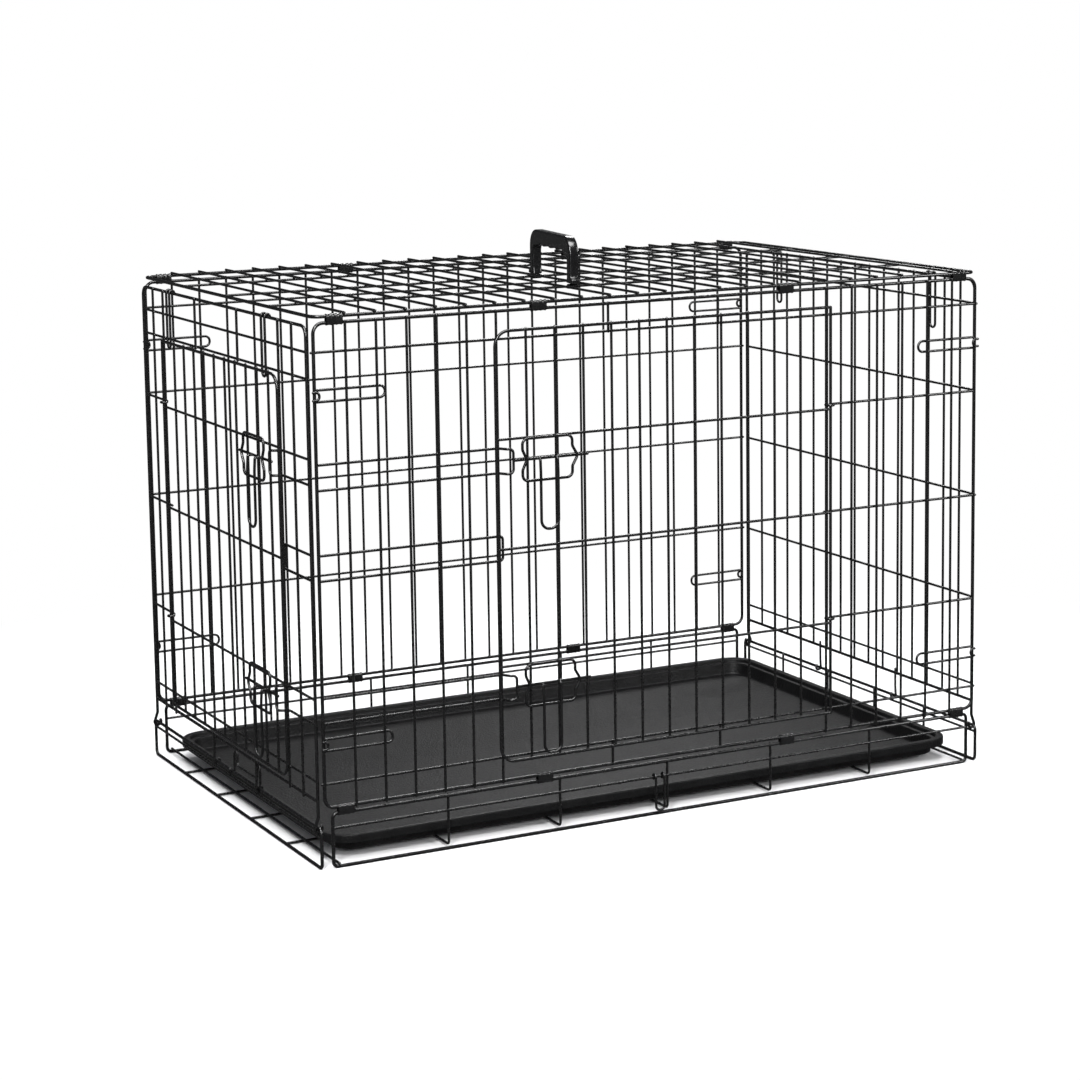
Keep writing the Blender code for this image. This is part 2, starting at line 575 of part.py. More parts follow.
def base_grid():
    """The floor grid and the four rims that stand round it."""
    rim = SIDE_HALF - RIM_INSET
    parts = []
    for side in (-1, 1):
        y = side * SIDE_Y
        corners = rectangle(rim, R_FRAME, RIM_Z, lambda x, z: (x, y, z))
        parts.append(wire(bent(corners, RIM_BEND, closed=True), R_FRAME, closed=True))
        rail = side * RIM_RAIL_Y
        parts += bars([[(REST - rim, rail, MID_RIM_Z), (rim - REST, rail, MID_RIM_Z)]], R_MESH)
        x = side * END_X
        lap = SIDE_Y + END_RIM_LAP
        ends = rectangle(lap, R_END_FRAME, END_AXIS_Z, lambda y, z: (x, y, z))
        parts.append(wire(bent(ends, RIM_BEND, closed=True), R_END_FRAME, closed=True))
        parts += bars([[(x, REST - lap, END_RIM_LOW_WIRE_Z), (x, lap - REST, END_RIM_LOW_WIRE_Z)]], R_MESH)
    inner = BASE_UP_Y
    xs = sorted({side * x for x in FLOOR_U_X for side in (-1, 1)})
    parts += [wire(bent([(x, -inner, RIM_Z + STUB), (x, -inner, FLOOR_Z), (x, inner, FLOOR_Z),
                         (x, inner, RIM_Z + STUB)], PIN_BEND), R_MESH, sides=6) for x in xs]
    floor_end = SIDE_HALF - FLOOR_END_MARGIN
    parts += bars([[(side * floor_end, -SIDE_Y - STUB, FLOOR_Z), (side * floor_end, SIDE_Y + STUB, FLOOR_Z)]
                   for side in (-1, 1)], R_MESH)
    low = FLOOR_Z - 2 * R_MESH + CROSS_BITE
    back = END_X - REST
    longs = sorted({side * y for y in FLOOR_LONG_Y for side in (-1, 1)})
    for y in longs:
        corner = END_X - R_END_FRAME - R_MESH + BITE
        parts.append(wire(bent([(-back, y, low), (corner, y, low), (corner, y, END_AXIS_Z + STUB)],
                               [0, PIN_BEND, 0]), R_MESH))
    place("base_grid", welded(parts), black_steel("base_grid"))


def tray():
    """A shallow pan with a stepped, turned-down lip."""
    half_x = END_X - TRAY_END_CLEAR
    half_y = SIDE_Y - TRAY_CLEAR
    low = FLOOR_Z + R_MESH + REST + TRAY_WALL
    ledge = TRAY_LIP + TRAY_STEP
    profile = [(0, TRAY_TOP_Z - TRAY_LIP_DROP), (0, TRAY_TOP_Z - TRAY_EASE), (TRAY_EASE, TRAY_TOP_Z),
               (TRAY_LIP - TRAY_EASE, TRAY_TOP_Z), (TRAY_LIP, TRAY_TOP_Z - TRAY_EASE),
               (TRAY_LIP + 0.5, TRAY_TOP_Z - TRAY_STEP_DROP), (ledge, TRAY_TOP_Z - TRAY_STEP_DROP - 0.5),
               (ledge + 2.5, low + 4), (ledge + TRAY_SLOPE, low)]
    shape = bmesh.new()
    last = []
    for inset, z in profile:
        x, y, corner = half_x - inset, half_y - inset, TRAY_CORNER - inset
        line = bent([(-x, -y, z), (x, -y, z), (x, y, z), (-x, y, z)], corner, closed=True, steps=4)
        loop = [shape.verts.new(point * MM) for point in line]
        for i in range(len(loop) if last else 0):
            j = (i + 1) % len(loop)
            shape.faces.new((last[i], last[j], loop[j], loop[i]))
        last = loop
    shape.faces.new(last)
    bmesh.ops.recalc_face_normals(shape, faces=shape.faces)
    mesh = bpy.data.meshes.new("tray")
    shape.to_mesh(mesh)
    shape.free()
    part = place("tray", mesh, black_plastic("tray"))
    shell = part.modifiers.new("wall", "SOLIDIFY")
    shell.thickness = TRAY_WALL * MM
    shell.offset = TRAY_WALL_SIDE
    shell.use_even_offset = True


def stadium(radius, half, segments=3):
    """A round-ended slot outline, long way along X."""
    points = []
    for side in (1, -1):
        for step in range(segments + 1):
            angle = math.radians(-90 + 180 * step / segments) + (0 if side == 1 else math.pi)
            points.append((side * half + radius * math.cos(angle), radius * math.sin(angle)))
    return points


def clips():
    """Sleeves that hold two frame wires side by side and let them turn."""
    inner = (R_FRAME + REST) / math.cos(math.pi / 6)
    for row, z in (("bottom", HINGE_Z - PAIR / 2), ("top", TOP_Z + PAIR / 2)):
        for face, side in (("front", -1), ("rear", 1)):
            for number, x in enumerate(CLIP_XS, 1):
                mesh = outline([stadium(inner + CLIP_WALL, PAIR / 2), stadium(inner, PAIR / 2)], CLIP_LENGTH)
                mesh.transform(Matrix.Rotation(math.radians(90), 4, "Y"))
                name = f"clip_{row}_{face}_{number}"
                place(name, mesh, black_steel(name)).location = Vector((x, side * SIDE_Y, z)) * MM


def carry_handle():
    """An arched grip with flanged feet and finger scallops underneath."""
    feet = [Vector((GRIP_FOOT_OFF - PITCH, 0, 0)), Vector((-GRIP_FOOT_OFF - PITCH, -SIDE_Y / 2, 0))]
    span = (feet[1] - feet[0]).length
    clip_out = R_MESH + REST + HANDLE_CLIP_WALL
    floor = LID_LONG_Z + clip_out + REST
    leg = GRIP_LEG / 2
    under = HANDLE_RISE - GRIP_THICK
    far = span + leg
    toe = leg + GRIP_FLANGE
    corners = [(-toe, 0), (-toe, 5), (-leg, GRIP_FLANGE_Z), (-leg, HANDLE_RISE), (far, HANDLE_RISE),
               (far, GRIP_FLANGE_Z), (span + toe, 5), (span + toe, 0), (span - leg - 2, 0),
               (span - leg, GRIP_FLANGE_Z), (span - leg, under)]
    bends = [0.5, 1.5, 3, GRIP_BEND, GRIP_BEND, 3, 1.5, 0.5, 0.5, 3, 9]
    first, last = span - leg - SCALLOP_INSET, leg + SCALLOP_INSET
    steps = SCALLOPS * 4
    for step in range(steps + 1):
        part = step / steps
        dip = SCALLOP_DEPTH * (1 - math.cos(2 * math.pi * SCALLOPS * part))
        corners.append((first + (last - first) * part, under + dip))
        bends.append(0)
    corners += [(leg, under), (leg, GRIP_FLANGE_Z), (leg + 2, 0)]
    bends += [9, 3, 0.5]
    flat = [Vector((a, b, 0)) for a, b in corners]
    line = []
    for i, corner in enumerate(flat):
        if bends[i] == 0:
            line.append(corner)
        else:
            trio = [flat[i - 1], corner, flat[(i + 1) % len(flat)]]
            line += bent(trio, bends[i], steps=3 if bends[i] > 4 else 1)[1:-1]
    mesh = outline([line], GRIP_WIDTH)
    turn = Matrix.Rotation(math.radians(90), 4, "X")
    heading = (feet[1] - feet[0]).xy.angle_signed(Vector((1, 0)))
    mesh.transform(Matrix.Rotation(heading, 4, "Z") @ turn)
    part = place("carry_handle", mesh, black_plastic("carry_handle"))
    part.location = Vector((feet[0].x, feet[0].y, floor)) * MM
    for number, foot in enumerate(feet, 1):
        sweep = [math.radians(-60 + 300 * step / 8) for step in range(9)]
        outer = [(clip_out * math.cos(a), clip_out * math.sin(a)) for a in sweep]
        hole = (R_MESH + REST) / math.cos(math.radians(300 / 16))
        inner = [(hole * math.cos(a), hole * math.sin(a)) for a in reversed(sweep)]
        band = outline([outer + inner], HANDLE_CLIP_LENGTH)
        band.transform(Matrix.Rotation(math.radians(90), 4, "X") @ Matrix.Rotation(math.radians(90), 4, "Y"))
        name = f"handle_clip_{number}"
        place(name, band, black_steel(name)).location = Vector((foot.x, foot.y, LID_LONG_Z)) * MM


def tray_stop():
    """A wire stop hooked on the left rim, flipped up so that the tray slides out under it."""
    loop = R_END_FRAME + FIT + R_MESH
    x = loop - END_X
    hook = [(-END_X + loop * math.cos(a), END_AXIS_Z + loop * math.sin(a))
            for a in (-math.radians(RING_SWEEP) * step / 7 for step in range(8))]
    y0, y1, y2, y3 = STOP_LOOPS
    top, low = END_AXIS_Z + STOP_HEIGHT, END_AXIS_Z + STOP_HEIGHT / 3
    corners = [(x, y0, END_AXIS_Z + 1), (x, y0, top), (x, y1, top), (x, y1, low), (x, y2, low),
               (x, y2, top), (x, y3, top), (x, y3, END_AXIS_Z + 1)]
    line = [(a, y0, z) for a, z in hook][::-1] + bent(corners, 4, steps=2) + [(a, y3, z) for a, z in hook]
    place("tray_stop", wire(line, R_MESH, sides=6), black_steel("tray_stop"), (-END_X, 0, END_AXIS_Z))


def front_hook():
    """A wire loop that hangs from the front rim's middle wire."""
    loop = 2 * R_MESH + FIT
    y = -RIM_RAIL_Y
    hook = [(y - loop * math.cos(a), MID_RIM_Z + loop * math.sin(a))
            for a in (math.radians(RING_SWEEP) * step / 7 for step in range(8))]
    x0, x1 = FRONT_HOOK_X
    corners = [(x0, y - loop, MID_RIM_Z - 1), (x0, y - loop, FRONT_HOOK_TIP_Z),
               (x1, y - loop, FRONT_HOOK_TIP_Z), (x1, y - loop, MID_RIM_Z - 1)]
    line = [(x0, b, z) for b, z in hook][::-1] + bent(corners, 5) + [(x1, b, z) for b, z in hook]
    place("front_hook", wire(line, R_MESH, sides=6), black_steel("front_hook"), (0, y, MID_RIM_Z))


def centre_on_floor():
    """Moves the whole crate so that the origin is under the middle of its outer box."""
    bpy.context.view_layer.update()
    corners = [part.matrix_world @ vertex.co for part in PARTS.objects if part.type == "MESH"
               for vertex in part.data.vertices]
    for axis in (0, 1):
        places = [corner[axis] for corner in corners]
        ROOT.location[axis] = -(min(places) + max(places)) / 2


clear_scene()
PARTS = bpy.data.collections.new("wire_dog_crate")
bpy.context.scene.collection.children.link(PARTS)
ROOT = bpy.data.objects.new("crate_origin", None)
PARTS.objects.link(ROOT)
base_grid()
front_panel()
rear_panel()
top_panel()
left_end_panel()
right_end_panel()
front_door()
end_door()
latches()
clips()
tray()
carry_handle()
tray_stop()
front_hook()
centre_on_floor()
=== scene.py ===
import json
import math

import bmesh
import bpy
from mathutils import Matrix, Vector


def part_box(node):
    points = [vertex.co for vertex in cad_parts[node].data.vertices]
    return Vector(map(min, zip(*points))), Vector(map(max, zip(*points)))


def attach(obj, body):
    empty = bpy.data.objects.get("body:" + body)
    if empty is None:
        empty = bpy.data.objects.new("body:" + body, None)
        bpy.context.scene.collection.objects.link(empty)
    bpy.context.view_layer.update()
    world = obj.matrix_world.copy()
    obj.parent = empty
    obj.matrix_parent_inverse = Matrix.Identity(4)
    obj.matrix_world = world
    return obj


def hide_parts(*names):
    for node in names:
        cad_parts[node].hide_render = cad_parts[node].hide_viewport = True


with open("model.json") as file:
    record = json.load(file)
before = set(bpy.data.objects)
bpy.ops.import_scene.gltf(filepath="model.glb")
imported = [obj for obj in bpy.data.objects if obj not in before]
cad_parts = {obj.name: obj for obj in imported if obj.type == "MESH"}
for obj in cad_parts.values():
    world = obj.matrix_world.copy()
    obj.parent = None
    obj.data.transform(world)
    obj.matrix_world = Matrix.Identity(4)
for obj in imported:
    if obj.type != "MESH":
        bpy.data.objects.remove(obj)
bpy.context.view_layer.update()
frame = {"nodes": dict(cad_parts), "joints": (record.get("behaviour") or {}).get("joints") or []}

# ---------------------------------------------------------------------------
# The studio: a long lens in front of the crate's left corner, a white floor
# that keeps the shadow, and five soft lamps that draw highlights on the wires.
# ---------------------------------------------------------------------------
joint_at = {joint["name"]: Vector(joint["pos_m"]) for joint in frame["joints"] if joint.get("pos_m")}
front_hinge, rear_hinge = joint_at["frame_fold"], joint_at["rear_fold"]
middle = Vector((front_hinge.x, (front_hinge.y + rear_hinge.y) / 2, 0))

aim = middle + Vector((-0.00884, 0, 0.48975))
camera_turn = math.radians(-27.305)
camera_rise = math.radians(7.930)
camera_roll = math.radians(-0.797)
camera_distance = 3.52408
toward_camera = Vector((math.sin(camera_turn) * math.cos(camera_rise),
                        -math.cos(camera_turn) * math.cos(camera_rise), math.sin(camera_rise)))
level_right = (-toward_camera).cross(Vector((0, 0, 1))).normalized()
level_up = level_right.cross(-toward_camera)
right = math.cos(camera_roll) * level_right + math.sin(camera_roll) * level_up
up = math.cos(camera_roll) * level_up - math.sin(camera_roll) * level_right
camera = bpy.data.objects.new("camera", bpy.data.cameras.new("camera"))
camera.matrix_world = Matrix.Translation(aim + camera_distance * toward_camera) @ Matrix(
    (right, up, toward_camera)).transposed().to_4x4()
camera.data.lens = 90.41
camera.data.sensor_width = 36
camera.data.shift_x = -0.0093
camera.data.shift_y = -0.1366
bpy.context.scene.collection.objects.link(camera)
bpy.context.scene.camera = camera
bpy.context.scene.view_settings.view_transform = "Standard"

LAMP_AIM = Vector((0, 0, 0.35))


def soft_lamp(name, place, width, height, watts):
    lamp = bpy.data.lights.new(name, "AREA")
    lamp.shape = "RECTANGLE"
    lamp.size = width
    lamp.size_y = height
    lamp.energy = watts
    holder = bpy.data.objects.new(name, lamp)
    holder.location = place
    holder.rotation_euler = (LAMP_AIM - Vector(place)).to_track_quat("-Z", "Y").to_euler()
    bpy.context.scene.collection.objects.link(holder)


soft_lamp("key_lamp", (-1.9, -2.4, 2.7), 0.6, 0.6, 90)
soft_lamp("fill_lamp", (2.4, -2.2, 1.9), 0.7, 0.9, 40)
soft_lamp("front_lamp", (-1.4, -3.1, 1.5), 0.8, 0.8, 32)
soft_lamp("rim_lamp", (1.5, 2.3, 2.6), 1.0, 0.6, 48)
soft_lamp("overhead_lamp", (-0.3, -0.9, 2.8), 2.0, 1.2, 80)

WHITE, COOL_WHITE = (1, 1, 1, 1), (0.93, 0.95, 1, 1)


def glowing(shader, tint, strength):
    shader.inputs["Color"].default_value = tint
    shader.inputs["Strength"].default_value = strength
    return shader.outputs[0]


def either(tree, share, under, over):
    """The shader under where share is 0, and the shader over where it is 1."""
    mix = tree.nodes.new("ShaderNodeMixShader")
    for source, socket in zip((share, under, over), mix.inputs):
        tree.links.new(source, socket)
    return mix.outputs[0]


# The sky lights the crate softly, is darker in the gloss of the wires and is
# white behind them.
world = bpy.data.worlds.new("studio")
bpy.context.scene.world = world
world.use_nodes = True
sky = world.node_tree
lit_sky = glowing(sky.nodes["Background"], COOL_WHITE, 0.35)
mirrored_sky = glowing(sky.nodes.new("ShaderNodeBackground"), COOL_WHITE, 0.05)
white_sky = glowing(sky.nodes.new("ShaderNodeBackground"), WHITE, 1)
sky_rays = sky.nodes.new("ShaderNodeLightPath").outputs
unseen_sky = either(sky, sky_rays["Is Glossy Ray"], lit_sky, mirrored_sky)
sky.links.new(either(sky, sky_rays["Is Camera Ray"], unseen_sky, white_sky),
              sky.nodes["World Output"].inputs["Surface"])

FLOOR_REACH = 9
SHADOW_REACH, WHITE_REACH = 0.7, 1.25
floor_mesh = bpy.data.meshes.new("studio_floor")
floor_shape = bmesh.new()
bmesh.ops.create_grid(floor_shape, x_segments=1, y_segments=1, size=FLOOR_REACH)
floor_shape.to_mesh(floor_mesh)
floor_shape.free()
floor = bpy.data.objects.new("studio_floor", floor_mesh)
bpy.context.scene.collection.objects.link(floor)
floor_paint = bpy.data.materials.new("studio_floor")
floor_paint.use_nodes = True
paint_tree = floor_paint.node_tree
matt_floor = paint_tree.nodes["Principled BSDF"]
matt_floor.inputs["Base Color"].default_value = (0.97, 0.97, 0.97, 1)
matt_floor.inputs["Roughness"].default_value = 0.9
matt_floor.inputs["Specular IOR Level"].default_value = 0.1
# Past the crate's shadow the floor fades into the white behind it.
floor_place = paint_tree.nodes.new("ShaderNodeTexCoord")
away = paint_tree.nodes.new("ShaderNodeVectorMath")
away.operation = "LENGTH"
fade = paint_tree.nodes.new("ShaderNodeMapRange")
fade.interpolation_type = "SMOOTHSTEP"
fade.inputs["From Min"].default_value = SHADOW_REACH
fade.inputs["From Max"].default_value = WHITE_REACH
white_share = paint_tree.nodes.new("ShaderNodeMath")
white_share.operation = "MULTIPLY"
floor_rays = paint_tree.nodes.new("ShaderNodeLightPath").outputs
paint_tree.links.new(floor_place.outputs["Object"], away.inputs[0])
paint_tree.links.new(away.outputs["Value"], fade.inputs["Value"])
paint_tree.links.new(fade.outputs["Result"], white_share.inputs[0])
paint_tree.links.new(floor_rays["Is Camera Ray"], white_share.inputs[1])
white_floor = glowing(paint_tree.nodes.new("ShaderNodeEmission"), WHITE, 1)
mirrored_floor = glowing(paint_tree.nodes.new("ShaderNodeEmission"), WHITE, 0.1)
seen_floor = either(paint_tree, white_share.outputs[0], matt_floor.outputs[0], white_floor)
paint_tree.links.new(either(paint_tree, floor_rays["Is Glossy Ray"], seen_floor, mirrored_floor),
                     paint_tree.nodes["Material Output"].inputs["Surface"])
floor_mesh.materials.append(floor_paint)

# ---------------------------------------------------------------------------
# The base grid: a floor of welded wires with four low rims, made of drawn
# steel wire, bent, spot welded where the wires cross, and powder coated black.
# Everything below is laid out in millimetres from the middle of the footprint.
# ---------------------------------------------------------------------------
MM = 0.001
R_FRAME, R_END, R_MESH = 2.1, 2.0, 1.6  # wires of the long panels' frames, the end frames, the grids
BITE = 0.45  # an upright is pressed this far into the frame wire that it is welded to
REST = 0.3  # between two wires that lie against each other
STUB = 1  # an upright's end past the wire that it is welded to
PAIR_GAP = 7.3  # between the two wires that a clip holds
RIM_INSET, RIM_BEND = 9, 6
END_RIM_LAP = 0.5
LOW_RIM_Z = 40
CROSS_Z, CROSS_X, CROSS_BEND = 5.35, (-298, -149, 0, 149, 298), 4.5
LONG_Z, LONG_Y = 2.55, (-176, -58.5, 58.5, 176)
LAST_CROSS_INSET = 16

side_y = (rear_hinge.y - front_hinge.y) / 2 / MM
hinge_z = front_hinge.z / MM
top_z = joint_at["top_fold"].z / MM
end_x = (joint_at["right_end_fold"].x - joint_at["left_end_fold"].x) / 2 / MM
end_axis_z = joint_at["left_end_fold"].z / MM
panel_low, panel_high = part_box("front_panel")
side_half = (panel_high.x - panel_low.x) / 2 / MM - R_FRAME
up_offset = R_FRAME + R_MESH - BITE
rail_offset = up_offset - 2 * R_MESH - REST
end_up = R_END + R_MESH - BITE


def at(x, y, z):
    return Vector((middle.x + x * MM, middle.y + y * MM, z * MM))


def powder_coat(name, shade, dull, shine=0.75):
    """Black powder coat: a fine orange peel, slightly uneven in gloss and depth."""
    coat = bpy.data.materials.new(name)
    coat.use_nodes = True
    tree = coat.node_tree
    shader = tree.nodes["Principled BSDF"]
    place = tree.nodes.new("ShaderNodeTexCoord")

    def cloud(scale, detail):
        noise = tree.nodes.new("ShaderNodeTexNoise")
        noise.inputs["Scale"].default_value = scale
        noise.inputs["Detail"].default_value = detail
        tree.links.new(place.outputs["Object"], noise.inputs["Vector"])
        return noise.outputs["Fac"]

    tone = tree.nodes.new("ShaderNodeValToRGB")
    deep, pale = tone.color_ramp.elements
    deep.position, deep.color = 0.3, (shade * 0.7, shade * 0.7, shade * 0.74, 1)
    pale.position, pale.color = 0.75, (shade * 1.5, shade * 1.5, shade * 1.55, 1)
    tree.links.new(cloud(scale=46, detail=5), tone.inputs["Fac"])
    tree.links.new(tone.outputs["Color"], shader.inputs["Base Color"])
    gloss = tree.nodes.new("ShaderNodeMapRange")
    gloss.inputs["To Min"].default_value = dull - 0.09
    gloss.inputs["To Max"].default_value = dull + 0.11
    tree.links.new(cloud(scale=310, detail=3), gloss.inputs["Value"])
    tree.links.new(gloss.outputs["Result"], shader.inputs["Roughness"])
    peel = tree.nodes.new("ShaderNodeBump")
    peel.inputs["Strength"].default_value = 0.12
    peel.inputs["Distance"].default_value = 0.00012
    tree.links.new(cloud(scale=1500, detail=2), peel.inputs["Height"])
    tree.links.new(peel.outputs["Normal"], shader.inputs["Normal"])
    shader.inputs["Specular IOR Level"].default_value = shine
    return coat


frame_coat = powder_coat("frame_wire_coat", 0.0035, 0.24)
mesh_coat = powder_coat("mesh_wire_coat", 0.003, 0.27)


def group_inputs(tree, sockets):
    """Gives a node tree its geometry and named inputs; returns the identifiers of the named ones."""
    tree.interface.new_socket("Geometry", in_out="INPUT", socket_type="NodeSocketGeometry")
    made = {name: tree.interface.new_socket(name, in_out="INPUT", socket_type=kind)
            for name, kind in sockets}
    tree.interface.new_socket("Geometry", in_out="OUTPUT", socket_type="NodeSocketGeometry")
    return {name: socket.identifier for name, socket in made.items()}


def coated(tree, shape, given):
    """Ends a node tree: its shape made real, then given the material of its Finish input."""
    real = tree.nodes.new("GeometryNodeRealizeInstances")
    paint = tree.nodes.new("GeometryNodeSetMaterial")
    tree.links.new(shape, real.inputs["Geometry"])
    tree.links.new(real.outputs["Geometry"], paint.inputs["Geometry"])
    tree.links.new(given.outputs["Finish"], paint.inputs["Material"])
    tree.links.new(paint.outputs["Geometry"], tree.nodes.new("NodeGroupOutput").inputs["Geometry"])


drawn_wire = bpy.data.node_groups.new("drawn_wire", "GeometryNodeTree")
wire_inputs = group_inputs(drawn_wire, (("Wire Radius", "NodeSocketFloat"), ("Sides", "NodeSocketInt"),
                                        ("Finish", "NodeSocketMaterial")))
nodes, link = drawn_wire.nodes, drawn_wire.links.new
given = nodes.new("NodeGroupInput")
centre_line = nodes.new("GeometryNodeMeshToCurve")
section = nodes.new("GeometryNodeCurvePrimitiveCircle")
sweep = nodes.new("GeometryNodeCurveToMesh")
sweep.inputs["Fill Caps"].default_value = True
smooth = nodes.new("GeometryNodeSetShadeSmooth")
link(given.outputs["Geometry"], centre_line.inputs["Mesh"])
link(given.outputs["Wire Radius"], section.inputs["Radius"])
link(given.outputs["Sides"], section.inputs["Resolution"])
link(centre_line.outputs["Curve"], sweep.inputs["Curve"])
link(section.outputs["Curve"], sweep.inputs["Profile Curve"])
link(sweep.outputs["Mesh"], smooth.inputs["Geometry"])
coated(drawn_wire, smooth.outputs["Geometry"], given)

weld_beads = bpy.data.node_groups.new("weld_beads", "GeometryNodeTree")
bead_inputs = group_inputs(weld_beads, (("Finish", "NodeSocketMaterial"),))
nodes, link = weld_beads.nodes, weld_beads.links.new
given = nodes.new("NodeGroupInput")
bead = nodes.new("GeometryNodeMeshUVSphere")
bead.inputs["Segments"].default_value = 10
bead.inputs["Rings"].default_value = 6
bead.inputs["Radius"].default_value = 1
smooth = nodes.new("GeometryNodeSetShadeSmooth")
half_sizes = nodes.new("GeometryNodeInputNamedAttribute")
half_sizes.data_type = "FLOAT_VECTOR"
half_sizes.inputs["Name"].default_value = "bead_size"
spread = nodes.new("GeometryNodeInstanceOnPoints")
link(bead.outputs["Mesh"], smooth.inputs["Geometry"])
link(given.outputs["Geometry"], spread.inputs["Points"])
link(smooth.outputs["Geometry"], spread.inputs["Instance"])
link(half_sizes.outputs["Attribute"], spread.inputs["Scale"])
coated(weld_beads, spread.outputs["Instances"], given)


def held(shape):
    """A passing object for a mesh or a curve."""
    holder = bpy.data.objects.new(shape.name, shape)
    bpy.context.scene.collection.objects.link(holder)
    return holder


def settled(holder):
    """The plain mesh that a passing object's curve or modifiers give; the object is removed."""
    graph = bpy.context.evaluated_depsgraph_get()
    made = bpy.data.meshes.new_from_object(holder.evaluated_get(graph))
    bpy.data.objects.remove(holder)
    return made


def grown(start, tree, values):
    """The plain mesh that a node tree makes from a starting mesh."""
    holder = held(start)
    grow = holder.modifiers.new("grow", "NODES")
    grow.node_group = tree
    for identifier, value in values.items():
        grow[identifier] = value
    return settled(holder)


def tubes(centre_lines, radius, finish, sides=14):
    """Round wires along centre lines, each a list of points and True if it is a closed loop."""
    points, edges = [], []
    for line, closed in centre_lines:
        first = len(points)
        points += line
        edges += [(i, i + 1) for i in range(first, len(points) - 1)]
        if closed:
            edges.append((len(points) - 1, first))
    start = bpy.data.meshes.new("centre_lines")
    start.from_pydata(points, edges, [])
    return grown(start, drawn_wire, {wire_inputs["Wire Radius"]: radius * MM,
                                     wire_inputs["Sides"]: sides, wire_inputs["Finish"]: finish})


def beads(places, finish):
    """Weld nuggets and rounded wire ends: pairs of a place and its three half sizes."""
    start = bpy.data.meshes.new("bead_places")
    start.from_pydata([place for place, _ in places], [], [])
    size = start.attributes.new("bead_size", "FLOAT_VECTOR", "POINT")
    for item, (_, half) in zip(size.data, places):
        item.vector = Vector(half) * MM
    return grown(start, weld_beads, {bead_inputs["Finish"]: finish})


def rounded_ends(line, radius):
    return [(end, (radius * 0.985,) * 3) for end in (line[0], line[-1])]


def bent(corners, bend, closed=False, steps=7):
    """A centre line through corners, each turned on an arc whose radius is bend."""
    points = [Vector(corner) for corner in corners]
    bends = list(bend) if isinstance(bend, (list, tuple)) else [bend] * len(points)
    line = []
    for i, corner in enumerate(points):
        if bends[i] == 0 or (not closed and i in (0, len(points) - 1)):
            line.append(corner)
            continue
        back = (points[i - 1] - corner).normalized()
        ahead = (points[(i + 1) % len(points)] - corner).normalized()
        half = back.angle(ahead) / 2
        centre = corner + (back + ahead).normalized() * bends[i] / math.sin(half)
        run = bends[i] / math.tan(half)
        start, end = corner + back * run - centre, corner + ahead * run - centre
        turn = math.pi - 2 * half
        line += [centre + (start * math.sin((1 - k / steps) * turn) + end * math.sin(k / steps * turn))
                 / math.sin(turn) for k in range(steps + 1)]
    return line


def joined(name, meshes, body, stands_for):
    """One piece from several meshes, riding on its body."""
    shape = bmesh.new()
    coats = []
    for mesh in meshes:
        first = len(shape.faces)
        shape.from_mesh(mesh)
        shape.faces.ensure_lookup_table()
        for coat in mesh.materials:
            if coat not in coats:
                coats.append(coat)
        for face in shape.faces[first:]:
            own = min(face.material_index, len(mesh.materials) - 1)
            face.material_index = coats.index(mesh.materials[own])
            face.smooth = True
    whole = bpy.data.meshes.new(name)
    shape.to_mesh(whole)
    shape.free()
    for coat in coats:
        whole.materials.append(coat)
    whole.set_sharp_from_angle(angle=math.radians(50))
    piece = bpy.data.objects.new(name, whole)
    bpy.context.scene.collection.objects.link(piece)
    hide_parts(*stands_for)
    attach(piece, body)


class WireWork:
    """Collects one piece's wires by radius, with the beads of its welds and wire ends."""

    def __init__(self):
        self.lines = {}
        self.places = []

    def wire(self, points, radius, closed=False):
        line = [at(*point) for point in points]
        self.lines.setdefault(radius, []).append((line, closed))
        if not closed:
            self.places += rounded_ends(line, radius)

    def weld(self, point, across):
        """A flattened nugget between two wires; across is the axis from one wire to the other."""
        half = [R_MESH * 0.95] * 3
        half["xyz".index(across)] = R_MESH * 0.8
        self.places.append((at(*point), half))

    def finish(self, name, body, stands_for):
        meshes = [tubes(group, radius, mesh_coat if radius == R_MESH else frame_coat)
                  for radius, group in self.lines.items()]
        meshes.append(beads(self.places, mesh_coat))
        joined(name, meshes, body, (stands_for,))


rim_z, rim_half = hinge_z - PAIR_GAP, side_half - RIM_INSET
base = WireWork()
for side in (-1, 1):
    y, mid_y = side * side_y, side * (side_y - rail_offset)
    base.wire(bent([(-rim_half, y, R_FRAME), (rim_half, y, R_FRAME), (rim_half, y, rim_z),
                    (-rim_half, y, rim_z)], RIM_BEND, closed=True), R_FRAME, closed=True)
    base.wire([(-rim_half, mid_y, end_axis_z), (rim_half, mid_y, end_axis_z)], R_MESH)
    x, half = side * end_x, side_y + END_RIM_LAP
    base.wire(bent([(x, -half, R_END), (x, half, R_END), (x, half, end_axis_z), (x, -half, end_axis_z)],
                   RIM_BEND, closed=True), R_END, closed=True)
    base.wire([(x, -half, LOW_RIM_Z), (x, half, LOW_RIM_Z)], R_MESH)
up_y = side_y - up_offset
for x in CROSS_X:
    base.wire(bent([(x, -up_y, rim_z + STUB), (x, -up_y, CROSS_Z), (x, up_y, CROSS_Z),
                    (x, up_y, rim_z + STUB)], CROSS_BEND), R_MESH)
    for y in (-up_y - R_MESH, up_y + R_MESH):
        for z in (rim_z, end_axis_z):
            base.weld((x, y, z), "y")
last_x = side_half - LAST_CROSS_INSET
for x in (-last_x, last_x):
    base.wire([(x, -side_y - STUB, CROSS_Z), (x, side_y + STUB, CROSS_Z)], R_MESH)
turn_x = end_x - end_up
